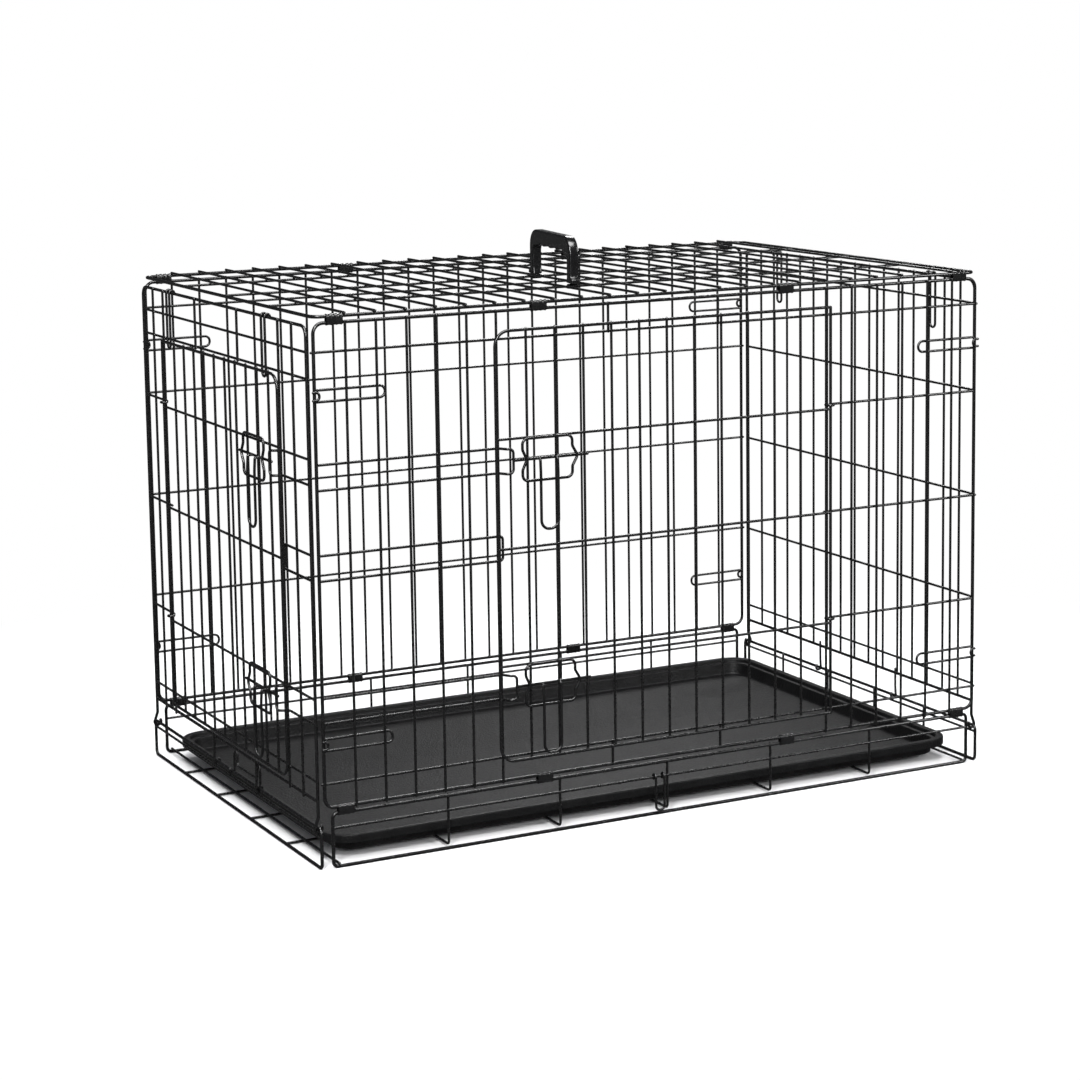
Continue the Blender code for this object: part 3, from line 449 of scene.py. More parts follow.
for y in LONG_Y:
    base.wire(bent([(-end_x, y, LONG_Z), (turn_x, y, LONG_Z), (turn_x, y, end_axis_z + STUB)], CROSS_BEND),
              R_MESH)
    base.weld((end_x - R_END / 2, y, end_axis_z), "x")
    for x in (*CROSS_X, -last_x, last_x):
        base.weld((x, y, (CROSS_Z + LONG_Z) / 2), "z")
base.finish("base_grid_wires", "base", "base_grid")

# ---------------------------------------------------------------------------
# The two long panels: frame wire bent round and butt welded, uprights on the
# outer side, rails on the inner side. The front one has the door opening, its
# hinge eyes on the right and the staples of the slide bolts on the left.
# ---------------------------------------------------------------------------
R_DOOR, R_LATCH = 1.9, 1.7  # wires of the door frames and the slide bolts
FIT = 0.35  # between a wire and the loop that it turns in
PITCH, CELLS = 38, 24
DOOR_CELLS = 6  # from the middle to the first full upright beside the front door
PANEL_BEND, PIN_BEND = 12, 4.5
FRAME_WELD, INNER_WELD, SHORT_WELD = 1.9, 1.6, 1.3  # a nugget's middle from the frame wire's
RAIL_END = 0.9  # a rail's end past the frame wire
RAIL_DROP, RAIL_RISE, RAIL_STEP = 33, 28.5, 135.75
SHORT_X = 76  # the short uprights above and below the front door
CATCH_REACH, CATCH_BEND = 87, 6.5
TOP_CATCH, LOW_CATCH = (76, 89.5), (81.5, 67.5)  # below the top wire, above the bottom wire
EYE_HALF, EYE_BEND, EYE_BITE = 4.6, 4.3, 0.4
EYE_PAST = (3, 1.6)  # past the frame wire, at the top and at the bottom
KEEPER_HALF, KEEPER_REACH = 14.75, 10
STAPLE_REACH, STAPLE_START, STAPLE_SLOPE = 20, 5.5, 0.55
HINGE_LEAD = 8  # a hinge eye's curl starts this far from the hinge axis
LOOP_SWEEP = 230

middle_z = (hinge_z + top_z) / 2
rail_zs = [top_z - RAIL_DROP, middle_z + RAIL_STEP, middle_z, middle_z - RAIL_STEP, hinge_z + RAIL_RISE]
catch_levels = ([top_z - drop for drop in TOP_CATCH], [hinge_z + rise for rise in LOW_CATCH])
outer_y, rail_y = side_y + up_offset, side_y + rail_offset
past = side_half + R_FRAME + RAIL_END
last_upright = CELLS // 2 - 1
front_door_pivot = joint_at["front_door_swing"]
door_half = (front_door_pivot.x - middle.x) / MM
door_y = (middle.y - front_door_pivot.y) / MM
door_up = R_DOOR + R_MESH - BITE
rod_out = R_MESH - door_up + REST + R_LATCH
front_rods = {name: joint_at[f"front_{name}_handle_lift"].z / MM for name in ("upper", "lower")}


def on_front(along, out, z):
    return (along, -out, z)


def arc(centre, radius, start, sweep, steps=16):
    """Flat points round centre, from the angle start in radians on through sweep degrees."""
    angles = [start + math.radians(sweep) * step / steps for step in range(steps + 1)]
    return [(centre[0] + radius * math.cos(a), centre[1] + radius * math.sin(a)) for a in angles]


def ring(approach, centre, radius, turn):
    """Flat points of a loop round centre, entered on the tangent from approach; turn is 1 or -1."""
    reach = Vector(approach) - Vector(centre)
    start = math.atan2(reach.y, reach.x) + turn * math.acos(min(1, radius / reach.length))
    return arc(centre, radius, start, turn * LOOP_SWEEP)


def panel_frame(work, low, high):
    """The outer wire of a long panel or the top panel; low and high are its two edges in Y and Z."""
    work.wire(bent([(-side_half, *low), (side_half, *low), (side_half, *high), (-side_half, *high)],
                   PANEL_BEND, closed=True), R_FRAME, closed=True)


def long_upright(work, x, side, rails):
    """An outer wire of a long panel, with a nugget at each wire that it crosses."""
    work.wire([(x, side * outer_y, hinge_z - STUB), (x, side * outer_y, top_z + STUB)], R_MESH)
    for z in rails:
        work.weld((x, side * (outer_y + rail_y) / 2, z), "y")
    for z in (hinge_z, top_z):
        work.weld((x, side * (side_y + FRAME_WELD), z), "y")


def hairpin(work, edge, tip, y, levels, bend):
    """A U of wire from the panel's edge to its tip and back."""
    high, low = levels
    work.wire(bent([(edge, y, high), (tip, y, high), (tip, y, low), (edge, y, low)], bend), R_MESH)


def catches(work, side_sign):
    """Hairpins that stiffen the corners of a long panel, with their welds."""
    for side in (-1, 1):
        for levels in catch_levels:
            hairpin(work, side * side_half, side * (side_half - CATCH_REACH), side_sign * rail_y, levels,
                    CATCH_BEND)
            for x in (side * last_upright * PITCH, side * (last_upright - 1) * PITCH):
                for z in levels:
                    work.weld((x, side_sign * (side_y + INNER_WELD), z), "y")


def corner_eyes(work, side_sign):
    """Short U loops welded in front of the corner wires, level with the hairpins.

    The low ones end sooner, so that they clear the end panels' bottom wire when the crate folds.
    """
    y = side_sign * (side_y + R_FRAME + R_MESH - EYE_BITE)
    for side in (-1, 1):
        for levels, past_frame in zip(catch_levels, EYE_PAST):
            level = sum(levels) / 2
            hairpin(work, side * (side_half + past_frame), side * (side_half - EYE_HALF), y,
                    (level + EYE_HALF, level - EYE_HALF), EYE_BEND)


def staple(work, z, start, door_edge, rail_plane, door_plane, lay):
    """A loop of wire that stands out past the door's edge and takes the slide bolt."""
    tip, foot = door_edge + STAPLE_REACH, door_edge + STAPLE_START
    out = door_plane + rod_out + R_LATCH + FIT + R_MESH
    slope = foot + (tip - foot - R_LATCH) * STAPLE_SLOPE
    leg = [(start, rail_plane), (foot, rail_plane), (slope, out), (tip, out)]
    corners = [lay(*point, z + KEEPER_HALF) for point in leg]
    corners += [lay(*point, z - KEEPER_HALF) for point in reversed(leg)]
    work.wire(bent(corners, [0, 3, 3, 5.5, 5.5, 3, 3, 0], steps=6), R_MESH)


def plain_keeper(work, start, door_edge, rail_plane, lay):
    """A flat loop half way up that laps over the door's edge and takes no bolt."""
    tip, high, low = door_edge + KEEPER_REACH, middle_z + KEEPER_HALF, middle_z - KEEPER_HALF
    work.wire(bent([lay(start, rail_plane, high), lay(tip, rail_plane, high), lay(tip, rail_plane, low),
                    lay(start, rail_plane, low)], PIN_BEND), R_MESH)


front = WireWork()
panel_frame(front, (-side_y, hinge_z), (-side_y, top_z))
left_zs = [rail_zs[0], rail_zs[4]] + [z + half for z in (*front_rods.values(), middle_z)
                                      for half in (KEEPER_HALF, -KEEPER_HALF)]
for k in range(DOOR_CELLS, last_upright + 1):
    for side, zs in ((-1, left_zs), (1, rail_zs)):
        long_upright(front, side * k * PITCH, -1, zs)
for x in (-SHORT_X, SHORT_X):
    for rail_z, low, high in ((rail_zs[0], rail_zs[0], top_z), (rail_zs[4], hinge_z, rail_zs[4])):
        front.wire([(x, -up_y, low - STUB), (x, -up_y, high + STUB)], R_MESH)
        front.weld((x, -side_y + SHORT_WELD, rail_z), "y")
for z in (rail_zs[0], rail_zs[4]):
    front.wire([(-past, -rail_y, z), (past, -rail_y, z)], R_MESH)
front.wire([(DOOR_CELLS * PITCH - STUB, -rail_y, middle_z), (past, -rail_y, middle_z)], R_MESH)
hinge_eye = ring((door_half + HINGE_LEAD, -rail_y), (door_half, -door_y), R_DOOR + FIT + R_MESH, 1)
for z in (rail_zs[1], rail_zs[3]):
    front.wire([(side_half, -rail_y, z), (door_half + HINGE_LEAD + STUB, -rail_y, z)]
               + [(x, y, z) for x, y in hinge_eye], R_MESH)
for z in front_rods.values():
    staple(front, z, -side_half, -door_half, rail_y, door_y, on_front)
plain_keeper(front, -side_half, -door_half, rail_y, on_front)
catches(front, -1)
corner_eyes(front, -1)
front.finish("front_panel_wires", "front_panel", "front_panel")

rear = WireWork()
panel_frame(rear, (side_y, hinge_z), (side_y, top_z))
for k in range(-last_upright, last_upright + 1):
    long_upright(rear, k * PITCH, 1, rail_zs[:4])
for z in rail_zs[:4]:
    rear.wire([(-past, rail_y, z), (past, rail_y, z)], R_MESH)
catches(rear, 1)
corner_eyes(rear, 1)
rear.finish("rear_panel_wires", "rear_panel", "rear_panel")

# ---------------------------------------------------------------------------
# The top panel: cross wires laid over a bent frame and three long wires, welded
# at every crossing. Each cross wire is cut off just past the frame.
# ---------------------------------------------------------------------------
CROSS_END = 2.6
LONG_WELD = 1.4  # a nugget's middle above the frame wire's

lid_z = top_z + PAIR_GAP
long_ys = (-side_y / 2, 0, side_y / 2)
top = WireWork()
panel_frame(top, (-side_y, lid_z), (side_y, lid_z))
for y in long_ys:
    top.wire([(-side_half, y, lid_z + rail_offset), (side_half, y, lid_z + rail_offset)], R_MESH)
for k in range(-last_upright, last_upright + 1):
    x, reach = k * PITCH, side_y + CROSS_END
    top.wire([(x, -reach, lid_z + up_offset), (x, reach, lid_z + up_offset)], R_MESH)
    for y in (-side_y, side_y):
        top.weld((x, y, lid_z + FRAME_WELD), "z")
    for y in long_ys:
        top.weld((x, y, lid_z + LONG_WELD), "z")
top.finish("top_panel_wires", "top_panel", "top_panel")

# ---------------------------------------------------------------------------
# The two end panels: the outer wire's feet are hooked round the base's end rim
# so that the panel folds inwards. The left one has a door, its eyes and staples.
# ---------------------------------------------------------------------------
END_SLACK, END_TOP_DROP, END_SILL = 8, 3.5, 80
DOOR_MARGIN = 73.5  # from the panel's corner to the door's latch side
DOOR_DROP, LINTEL_RISE, FOOT_RAIL = 63, 3, 23
BESIDE_HINGE, BESIDE_LATCH = (42, 4), (4, -38)
LINTEL_SHORTS = (76, -69)
DOOR_END_HOOKS, DOOR_END_CATCHES = (54, -91), (173, -156)
PLAIN_END_HOOKS, PLAIN_END_CATCHES = (87, -100), (195, -182)
LOW_EYE = 144.25  # the lower hinge eye below the middle rail
RAIL_CLEAR = 2  # the short middle rail starts this far outside the door
PLAIN_SPACES = 16
HOOK_RISE, HOOK_LAP, HOOK_WELD = 12, 4.2, 1.8
GRIP_BITE, GRIP_SWEEP, GRIP_STEPS = 0.15, 205, 12
GRIP_LENGTH, GRIP_HALF, GRIP_BEND = 70, 5.6, 5.4

end_half = side_y - END_SLACK
end_top = top_z - END_TOP_DROP
end_door_top = end_top - DOOR_DROP
out_x, in_x = end_x + end_up, end_x + end_up - 2 * R_MESH - REST
end_pivot = joint_at["end_door_swing"]
door_x = (middle.x - end_pivot.x) / MM
hinge_y = (end_pivot.y - middle.y) / MM
latch_y = DOOR_MARGIN - end_half
end_rods = {name: joint_at[f"end_{name}_handle_lift"].z / MM for name in ("upper", "lower")}


def on_end(along, out, z):
    return (-out, along, z)


def end_frame(work, side):
    """The outer wire with its two feet, and the bottom wire between them."""
    foot = ring((end_x, end_axis_z + HOOK_RISE), (end_x, end_axis_z), 2 * R_END + FIT, -1)
    feet = [[(side * x, y, z) for x, z in foot] for y in (-end_half, end_half)]
    x, start = side * end_x, end_axis_z + HOOK_RISE + STUB
    work.wire(feet[0][::-1] + bent([(x, -end_half, start), (x, -end_half, end_top), (x, end_half, end_top),
                                    (x, end_half, start)], PANEL_BEND) + feet[1], R_END)
    work.wire([(x, -end_half, END_SILL), (x, end_half, END_SILL)], R_END)


def end_upright(work, side, y, low, crossings):
    work.wire([(side * out_x, y, low - STUB), (side * out_x, y, end_top + STUB)], R_MESH)
    for z in crossings:
        work.weld((side * (end_x + INNER_WELD), y, z), "x")


def end_hooks(work, side, ys):
    """Short wires welded to the bottom wire and hooked round the base's end rim."""
    foot = ring((end_up, end_axis_z + HOOK_RISE), (0, end_axis_z), R_END + FIT + R_MESH, -1)
    for y in ys:
        work.wire([(side * out_x, y, END_SILL + HOOK_LAP), (side * out_x, y, end_axis_z + HOOK_RISE)]
                  + [(side * (end_x + x), y, z) for x, z in foot], R_MESH)
        work.weld((side * (end_x + HOOK_WELD), y, END_SILL), "x")


def end_catches(work, side, ys):
    """Hairpins that hang from the top wire, each leg curled over it."""
    grip = R_END + R_MESH - GRIP_BITE
    x, low = side * (end_x + grip), end_top - GRIP_LENGTH
    curl = [(side * x, z) for x, z in arc((end_x, end_top), grip, 0, GRIP_SWEEP, GRIP_STEPS)[1:]]
    for y in ys:
        near, far = y - GRIP_HALF, y + GRIP_HALF
        legs = bent([(x, near, end_top), (x, near, low), (x, far, low), (x, far, end_top)], GRIP_BEND)
        work.wire([(a, near, z) for a, z in curl[::-1]] + legs + [(a, far, z) for a, z in curl], R_MESH)


left = WireWork()
end_frame(left, -1)
lintel, foot_rail = end_door_top + LINTEL_RISE, END_SILL + FOOT_RAIL
for edge, beside in ((hinge_y, BESIDE_HINGE), (latch_y, BESIDE_LATCH)):
    for offset in beside:
        end_upright(left, -1, edge + offset, END_SILL, (END_SILL, foot_rail, lintel, rail_zs[0], end_top))
for y in LINTEL_SHORTS:
    end_upright(left, -1, y, lintel, (lintel,))
for z in (rail_zs[0], lintel, foot_rail):
    left.wire([(-in_x, -end_half, z), (-in_x, end_half, z)], R_MESH)
end_hooks(left, -1, DOOR_END_HOOKS)
end_catches(left, -1, DOOR_END_CATCHES)
hinge_eye = ring((hinge_y + HINGE_LEAD, -in_x), (hinge_y, -door_x), R_DOOR + FIT + R_MESH, 1)
for z in (rail_zs[1], middle_z - LOW_EYE):
    left.wire([(-in_x, end_half, z), (-in_x, hinge_y + HINGE_LEAD + STUB, z)]
              + [(x, y, z) for y, x in hinge_eye], R_MESH)
left.wire([(-in_x, hinge_y + RAIL_CLEAR, middle_z), (-in_x, end_half, middle_z)], R_MESH)
for z in end_rods.values():
    staple(left, z, -end_half, latch_y, in_x, door_x, on_end)
plain_keeper(left, -end_half, latch_y, in_x, on_end)
left.finish("left_end_wires", "left_end_panel", "left_end_panel")

plain = WireWork()
end_frame(plain, 1)
back_zs = rail_zs[:4] + [foot_rail]
for space in range(1, PLAIN_SPACES):
    end_upright(plain, 1, 2 * end_half / PLAIN_SPACES * space - end_half, END_SILL,
                back_zs + [END_SILL, end_top])
for z in back_zs:
    plain.wire([(in_x, -end_half, z), (in_x, end_half, z)], R_MESH)
end_hooks(plain, 1, PLAIN_END_HOOKS)
end_catches(plain, 1, PLAIN_END_CATCHES)
plain.finish("right_end_wires", "right_end_panel", "right_end_panel")

# ---------------------------------------------------------------------------
# The two doors: frame wire bent round on the latch side and butted on a straight
# wire on the hinge side, uprights behind it and rails in front. Each door hangs
# by the straight wire in the panel's eyes.
# ---------------------------------------------------------------------------
DOOR_BEND = 18
DOOR_SILL, DOOR_HEAD, EYE_RAIL_DROP = 24.5, 23, 5
END_DOOR_RISE, END_DOOR_SPACES = 12, 11
door_rail = door_up - 2 * R_MESH - REST


def door(name, latch_edge, hinge_edge, low, high, plane, uprights, rails, lay):
    """lay(along, out, z) places a point; plane is how far out the frame wire stands."""
    work = WireWork()
    work.wire(bent([lay(hinge_edge, plane, low), lay(latch_edge, plane, low),
                    lay(latch_edge, plane, high), lay(hinge_edge, plane, high)],
                   [0, DOOR_BEND, DOOR_BEND, 0]), R_DOOR)
    work.wire([lay(hinge_edge, plane, low), lay(hinge_edge, plane, high)], R_DOOR)
    across = "y" if lay is on_front else "x"
    inner, outer = plane - door_up, plane - door_rail
    for along in uprights:
        work.wire([lay(along, inner, low - STUB), lay(along, inner, high + STUB)], R_MESH)
        for z in rails + [low, high]:
            work.weld(lay(along, plane - door_up / 2, z), across)
    for z in rails:
        work.wire([lay(latch_edge, outer, z), lay(hinge_edge, outer, z)], R_MESH)
    work.finish(f"{name}_wires", name, name)


door("front_door", -door_half, door_half, hinge_z + DOOR_SILL, top_z - DOOR_HEAD, door_y,
     [k * PITCH for k in range(1 - DOOR_CELLS, DOOR_CELLS)],
     [rail_zs[1] - EYE_RAIL_DROP, middle_z, rail_zs[3] - EYE_RAIL_DROP], on_front)
gap = (hinge_y - latch_y) / END_DOOR_SPACES
door("end_door", latch_y, hinge_y, END_SILL + END_DOOR_RISE, end_door_top, door_x,
     [latch_y + space * gap for space in range(1, END_DOOR_SPACES)],
     [rail_zs[1] - EYE_RAIL_DROP, middle_z, middle_z - LOW_EYE - EYE_RAIL_DROP], on_end)

# ---------------------------------------------------------------------------
# The slide bolts: a bracket wire pinched in at the rod, a straight rod and the
# drop handle that lifts and draws it, all in a slightly thicker wire.
# ---------------------------------------------------------------------------
LATCH_SIDES = 18
FRONT_BRACKET, END_BRACKET = 32, 38  # from the door's latch edge
BRACKET_LENGTH, BRACKET_HALF, PINCH_HALF = 70, 25.2, 12
CORNER_BEND, PINCH_BEND = 7, 6
PINCH_IN, SHOULDER, TAIL = 5.5, 4, 3  # how far the bracket's two ends swerve along the rod
ROD_START, ROD_PAST = 22.5, 18
HANDLE_START, HANDLE_END, HANDLE_KNEE, HANDLE_DROP = 22, 45, 16, 84

latch_coat = powder_coat("latch_wire_coat", 0.0035, 0.2)
bracket_out = R_MESH - door_rail + REST + R_LATCH


def latch_wire(name, line, body, closed=False):
    line = [at(*point) for point in line]
    meshes = [tubes([(line, closed)], R_LATCH, latch_coat, LATCH_SIDES)]
    if not closed:
        meshes.append(beads(rounded_ends(line, R_LATCH), latch_coat))
    joined(f"{name}_wire", meshes, body, (name,))


def slide_bolt(side, name, z, edge, plane, bracket_start, lay):
    """One latch: the rod slides along the door from its latch edge; lay places a point as for a door."""
    near, far = edge + bracket_start, edge + bracket_start + BRACKET_LENGTH
    out, pinch = plane + bracket_out, plane + rod_out + 2 * R_LATCH + REST
    shoulder = far - SHOULDER
    bracket = [(near, out, BRACKET_HALF, CORNER_BEND), (shoulder, out, BRACKET_HALF, CORNER_BEND),
               (shoulder, out, PINCH_HALF, PINCH_BEND), (far + TAIL, pinch, 0, PINCH_BEND),
               (shoulder, out, -PINCH_HALF, PINCH_BEND), (shoulder, out, -BRACKET_HALF, CORNER_BEND),
               (near, out, -BRACKET_HALF, CORNER_BEND), (near, out, -PINCH_HALF, PINCH_BEND),
               (near + PINCH_IN, pinch, 0, PINCH_BEND), (near, out, PINCH_HALF, PINCH_BEND)]
    latch_wire(f"{side}_latch_{name}_bracket",
               bent([lay(along, away, z + rise) for along, away, rise, _ in bracket],
                    [bend for *_, bend in bracket], closed=True, steps=6), f"{side}_door", closed=True)
    latch_wire(f"{side}_latch_{name}_bolt",
               [lay(edge + ROD_START, plane + rod_out, z), lay(far + ROD_PAST, plane + rod_out, z)],
               f"{side}_{name}_bolt")
    start, hang = plane + rod_out + R_LATCH * 0.4, plane + bracket_out + 2 * R_LATCH + REST
    leg = [(start, 0, 0), (hang - 1, 0, 1.8), (hang, -HANDLE_KNEE, 8), (hang, -HANDLE_DROP, 10.5)]
    handle = [(near + HANDLE_START, *point) for point in leg]
    handle += [(near + HANDLE_END, *point) for point in reversed(leg)]
    latch_wire(f"{side}_latch_{name}_handle",
               bent([lay(along, away, z + rise) for along, away, rise, _ in handle],
                    [bend for *_, bend in handle], steps=8), f"{side}_{name}_handle")


for name, z in front_rods.items():
    slide_bolt("front", name, z, -door_half, door_y, FRONT_BRACKET, on_front)
for name, z in end_rods.items():
    slide_bolt("end", name, z, latch_y, door_x, END_BRACKET, on_end)

# ---------------------------------------------------------------------------
# The tray stop and the front hook: small wires bent round the base's rims, free
# to turn on them. The stop keeps the tray in; the hook hangs on the front rim.
# ---------------------------------------------------------------------------
STOP_NEAR, STOP_FAR, STOP_NOTCH = 2, -85, 10
STOP_RISE, STOP_BEND = 25, 4.4
HOOK_NEAR, HOOK_FAR, HOOK_Z, HOOK_BEND = -8, -20, 6.7, 5.5

stop_r = R_END + FIT + R_MESH
foot = arc((-end_x, end_axis_z), stop_r, 0, -LOOP_SWEEP)
x, start = stop_r - end_x, end_axis_z + STUB
high, low = end_axis_z + STOP_RISE, end_axis_z + STOP_RISE / 3
flap = [(STOP_NEAR, start), (STOP_NEAR, high), (STOP_NEAR - STOP_NOTCH, high),
        (STOP_NEAR - STOP_NOTCH, low), (STOP_FAR + STOP_NOTCH, low), (STOP_FAR + STOP_NOTCH, high),
        (STOP_FAR, high), (STOP_FAR, start)]
stop = WireWork()
stop.wire([(a, STOP_NEAR, z) for a, z in foot[::-1]]
          + bent([(x, y, z) for y, z in flap], STOP_BEND, steps=6)
          + [(a, STOP_FAR, z) for a, z in foot], R_MESH)
stop.finish("tray_stop_wire", "tray_stop", "tray_stop")

front_rim_y, hook_r = rail_offset - side_y, 2 * R_MESH + FIT
foot = arc((front_rim_y, end_axis_z), hook_r, math.pi, -LOOP_SWEEP)
y, start = front_rim_y - hook_r, end_axis_z - STUB
hook = WireWork()
hook.wire([(HOOK_NEAR, b, z) for b, z in foot[::-1]]
          + bent([(HOOK_NEAR, y, start), (HOOK_NEAR, y, HOOK_Z), (HOOK_FAR, y, HOOK_Z),
                  (HOOK_FAR, y, start)], HOOK_BEND)
          + [(HOOK_FAR, b, z) for b, z in foot], R_MESH)
hook.finish("front_hook_wire", "front_hook", "front_hook")

# ---------------------------------------------------------------------------
# The clips: steel sleeves wrapped round two frame wires, with rolled ends and
# two pressed grooves. They hold the base to the panels and the panels to the top.
# ---------------------------------------------------------------------------
CLIP_WALL, GROOVE, ROLLED = 0.8 * MM, 0.35 * MM, 0.35 * MM
CLIP_SIDES = 28
# Shares of the clip's length, with how far its skin lies inside its box there.
CLIP_SKIN = ((0, ROLLED), (0.02, 0), (0.07, 0), (0.1, GROOVE), (0.28, GROOVE), (0.31, 0), (0.36, 0),
             (0.39, GROOVE), (0.61, GROOVE), (0.64, 0), (0.69, 0), (0.72, GROOVE), (0.9, GROOVE),
             (0.93, 0), (0.98, 0), (1, ROLLED), (1, CLIP_WALL), (0, CLIP_WALL))
clip_coat = powder_coat("clip_coat", 0.004, 0.22)


def sleeve(node):
    """A hollow sleeve along X that fills the clip's box, as rings of points from outside to inside."""
    low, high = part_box(node)
    length, deep, tall = high - low
    centre = (low + high) / 2
    radius, half = deep / 2, (tall - deep) / 2
    angles = [math.tau * (step + 0.5) / CLIP_SIDES for step in range(CLIP_SIDES)]
    return [[Vector((low.x + share * length, centre.y + (radius - inset) * math.cos(angle),
                     centre.z + math.copysign(half, math.sin(angle)) + (radius - inset) * math.sin(angle)))
             for angle in angles] for share, inset in CLIP_SKIN]


def skinned(rings, closed=True):
    """One skin over rings of equal length; the last ring joins the first, or else it is filled."""
    shape = bmesh.new()
    made = [[shape.verts.new(point) for point in points] for points in rings]
    for i in range(len(made) if closed else len(made) - 1):
        ring_verts, following = made[i], made[(i + 1) % len(made)]
        for k in range(len(ring_verts)):
            j = (k + 1) % len(ring_verts)
            shape.faces.new((ring_verts[k], ring_verts[j], following[j], following[k]))
    if not closed:
        shape.faces.new(made[-1])
    bmesh.ops.recalc_face_normals(shape, faces=shape.faces)
    mesh = bpy.data.meshes.new("skin")
    shape.to_mesh(mesh)
    shape.free()
    return mesh


for row, body in (("bottom", "base"), ("top", "top_panel")):
    clips = [name for name in sorted(frame["nodes"]) if name.startswith(f"clip_{row}_")]
    sleeves = [skinned(sleeve(name)) for name in clips]
    for mesh in sleeves:
        mesh.materials.append(clip_coat)
    joined(f"{row}_clip_sleeves", sleeves, body, clips)

for number in (1, 2):
    band = frame["nodes"][f"handle_clip_{number}"].data
    band.materials.clear()
    band.materials.append(clip_coat)

# ---------------------------------------------------------------------------
# The tray: one moulded pan with a turned-down lip, a ledge inside the rim and
# a fine leather grain that scatters the light. It lies loose on the floor wires.
# ---------------------------------------------------------------------------
TRAY_WALL, TRAY_CORNER = 2, 38
LIP_WIDTH, LIP_DROP, LIP_BEND = 10, 10, 2
LEDGE_START, LEDGE_END = (10.6, 4.8), (15.6, 5.1)  # inside the lip's edge, below the rim
SLOPE_END, FLOOR_START = 18.4, 30

tray_plastic = powder_coat("tray_plastic", 0.005, 0.42, shine=0.24)
grain = tray_plastic.node_tree
moulded = grain.nodes["Principled BSDF"]
tray_place = grain.nodes.new("ShaderNodeTexCoord")
leather = grain.nodes.new("ShaderNodeTexVoronoi")
leather.inputs["Scale"].default_value = 420
leather_bump = grain.nodes.new("ShaderNodeBump")
leather_bump.inputs["Strength"].default_value = 0.8
leather_bump.inputs["Distance"].default_value = 0.0005
grain.links.new(tray_place.outputs["Object"], leather.inputs["Vector"])
grain.links.new(leather.outputs["Distance"], leather_bump.inputs["Height"])
grain.links.new(moulded.inputs["Normal"].links[0].from_socket, leather_bump.inputs["Normal"])
grain.links.new(leather_bump.outputs["Normal"], moulded.inputs["Normal"])

tray_low, tray_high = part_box("tray")
tray_half = (tray_high - tray_low) / 2 / MM
tray_top, tray_floor = tray_high.z / MM, tray_low.z / MM + TRAY_WALL
# From the lip's edge over the rim and the ledge and down the slope to the floor:
# how far inside the lip, how high, and the radius of the bend there.
profile = [(0, tray_top - LIP_DROP, 0), (0, tray_top, LIP_BEND), (LIP_WIDTH, tray_top, LIP_BEND),
           (LEDGE_START[0], tray_top - LEDGE_START[1], 1), (LEDGE_END[0], tray_top - LEDGE_END[1], 1.2),
           (SLOPE_END, tray_floor, 3), (FLOOR_START, tray_floor, 0)]
loops = []
for inset, z, _ in bent([(inset, z, 0) for inset, z, _ in profile], [bend for *_, bend in profile], steps=4):
    x, y = tray_half.x - inset, tray_half.y - inset
    loops.append([at(*point) for point in bent([(-x, -y, z), (x, -y, z), (x, y, z), (-x, y, z)],
                                               TRAY_CORNER - inset, closed=True, steps=12)])
pan_holder = held(skinned(loops, closed=False))
shell = pan_holder.modifiers.new("wall", "SOLIDIFY")
shell.thickness = TRAY_WALL * MM
shell.offset = -1
shell.use_even_offset = True
pan = settled(pan_holder)
pan.materials.clear()
pan.materials.append(tray_plastic)
joined("tray_pan", [pan], "tray", ("tray",))

# ---------------------------------------------------------------------------
# The carry handle: a moulded arch with rounded edges, flanged feet and four
# finger scallops underneath, clipped to two of the top panel's long wires.
# ---------------------------------------------------------------------------
EDGE_ROUND, THICK = 2.4, 12.6
LEG, LEG_FOOT = 6, 8  # half a leg's width, and where it widens into its foot
FLANGE, FLANGE_TOP, FOOT_LAP = 6, 5, 2
ARCH_DEEP, SHOULDER_BEND, GRIP_CORNER = 20, 22, 9
SCALLOPS, SCALLOP_DEEP, SCALLOP_INSET, SCALLOP_STEPS = 4, 3.8, 14, 48

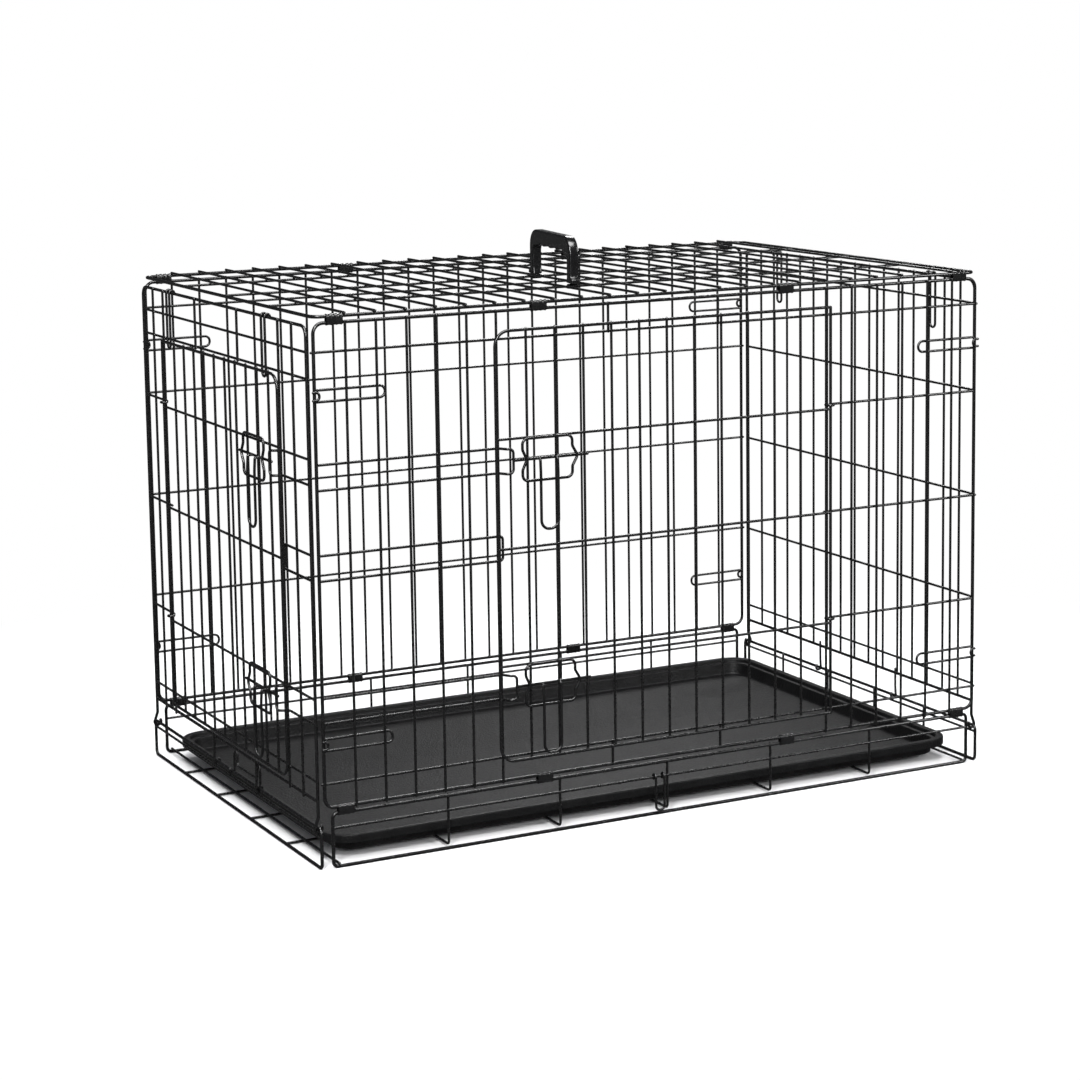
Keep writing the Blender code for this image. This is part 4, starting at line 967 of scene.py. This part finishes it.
handle_coat = powder_coat("handle_plastic", 0.004, 0.2)
feet = [sum(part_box(f"handle_clip_{number}"), Vector()) / 2 for number in (1, 2)]
handle_low, handle_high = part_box("carry_handle")
span = (feet[1] - feet[0]).xy.length / MM
rise = (handle_high.z - handle_low.z) / MM
under = rise - ARCH_DEEP
# The arch seen from the side: corners of its outer edge, then of its inner edge,
# each with the radius of its bend. The scallops are a wave between the two legs.
far_leg = span + LEG
side = [((-LEG - FLANGE, 0), 1), ((-LEG - FLANGE, FLANGE_TOP), 1.5), ((-LEG, LEG_FOOT), 3),
        ((-LEG, rise), SHOULDER_BEND), ((far_leg, rise), SHOULDER_BEND), ((far_leg, LEG_FOOT), 3),
        ((far_leg + FLANGE, FLANGE_TOP), 1.5), ((far_leg + FLANGE, 0), 1),
        ((span - LEG - FOOT_LAP, 0), 1), ((span - LEG, LEG_FOOT), 3), ((span - LEG, under), GRIP_CORNER)]
first, last = span - LEG - SCALLOP_INSET, LEG + SCALLOP_INSET
for step in range(SCALLOP_STEPS + 1):
    share = step / SCALLOP_STEPS
    wave = SCALLOP_DEEP / 2 * (1 - math.cos(math.tau * SCALLOPS * share))
    side.append(((first + (last - first) * share, under + wave), 0))
side += [((LEG, under), GRIP_CORNER), ((LEG, LEG_FOOT), 3), ((LEG + FOOT_LAP, 0), 1)]
outline = bent([(*point, 0) for point, _ in side], [bend for _, bend in side], closed=True, steps=8)
curve = bpy.data.curves.new("handle_outline", "CURVE")
curve.dimensions = "2D"
curve.fill_mode = "BOTH"
curve.extrude = (THICK / 2 - EDGE_ROUND) * MM
curve.bevel_depth = EDGE_ROUND * MM
curve.bevel_resolution = 3
curve.offset = -EDGE_ROUND * MM
spline = curve.splines.new("POLY")
spline.points.add(len(outline) - 1)
for point, place in zip(spline.points, outline):
    point.co = (place.x * MM, place.y * MM, 0, 1)
spline.use_cyclic_u = True
arch = settled(held(curve))
heading = (feet[1] - feet[0]).xy.angle_signed(Vector((1, 0)))
arch.transform(Matrix.Translation((feet[0].x, feet[0].y, handle_low.z)) @ Matrix.Rotation(heading, 4, "Z")
               @ Matrix.Rotation(math.radians(90), 4, "X"))
arch.materials.clear()
arch.materials.append(handle_coat)
joined("carry_handle_arch", [arch], "top_panel", ("carry_handle",))
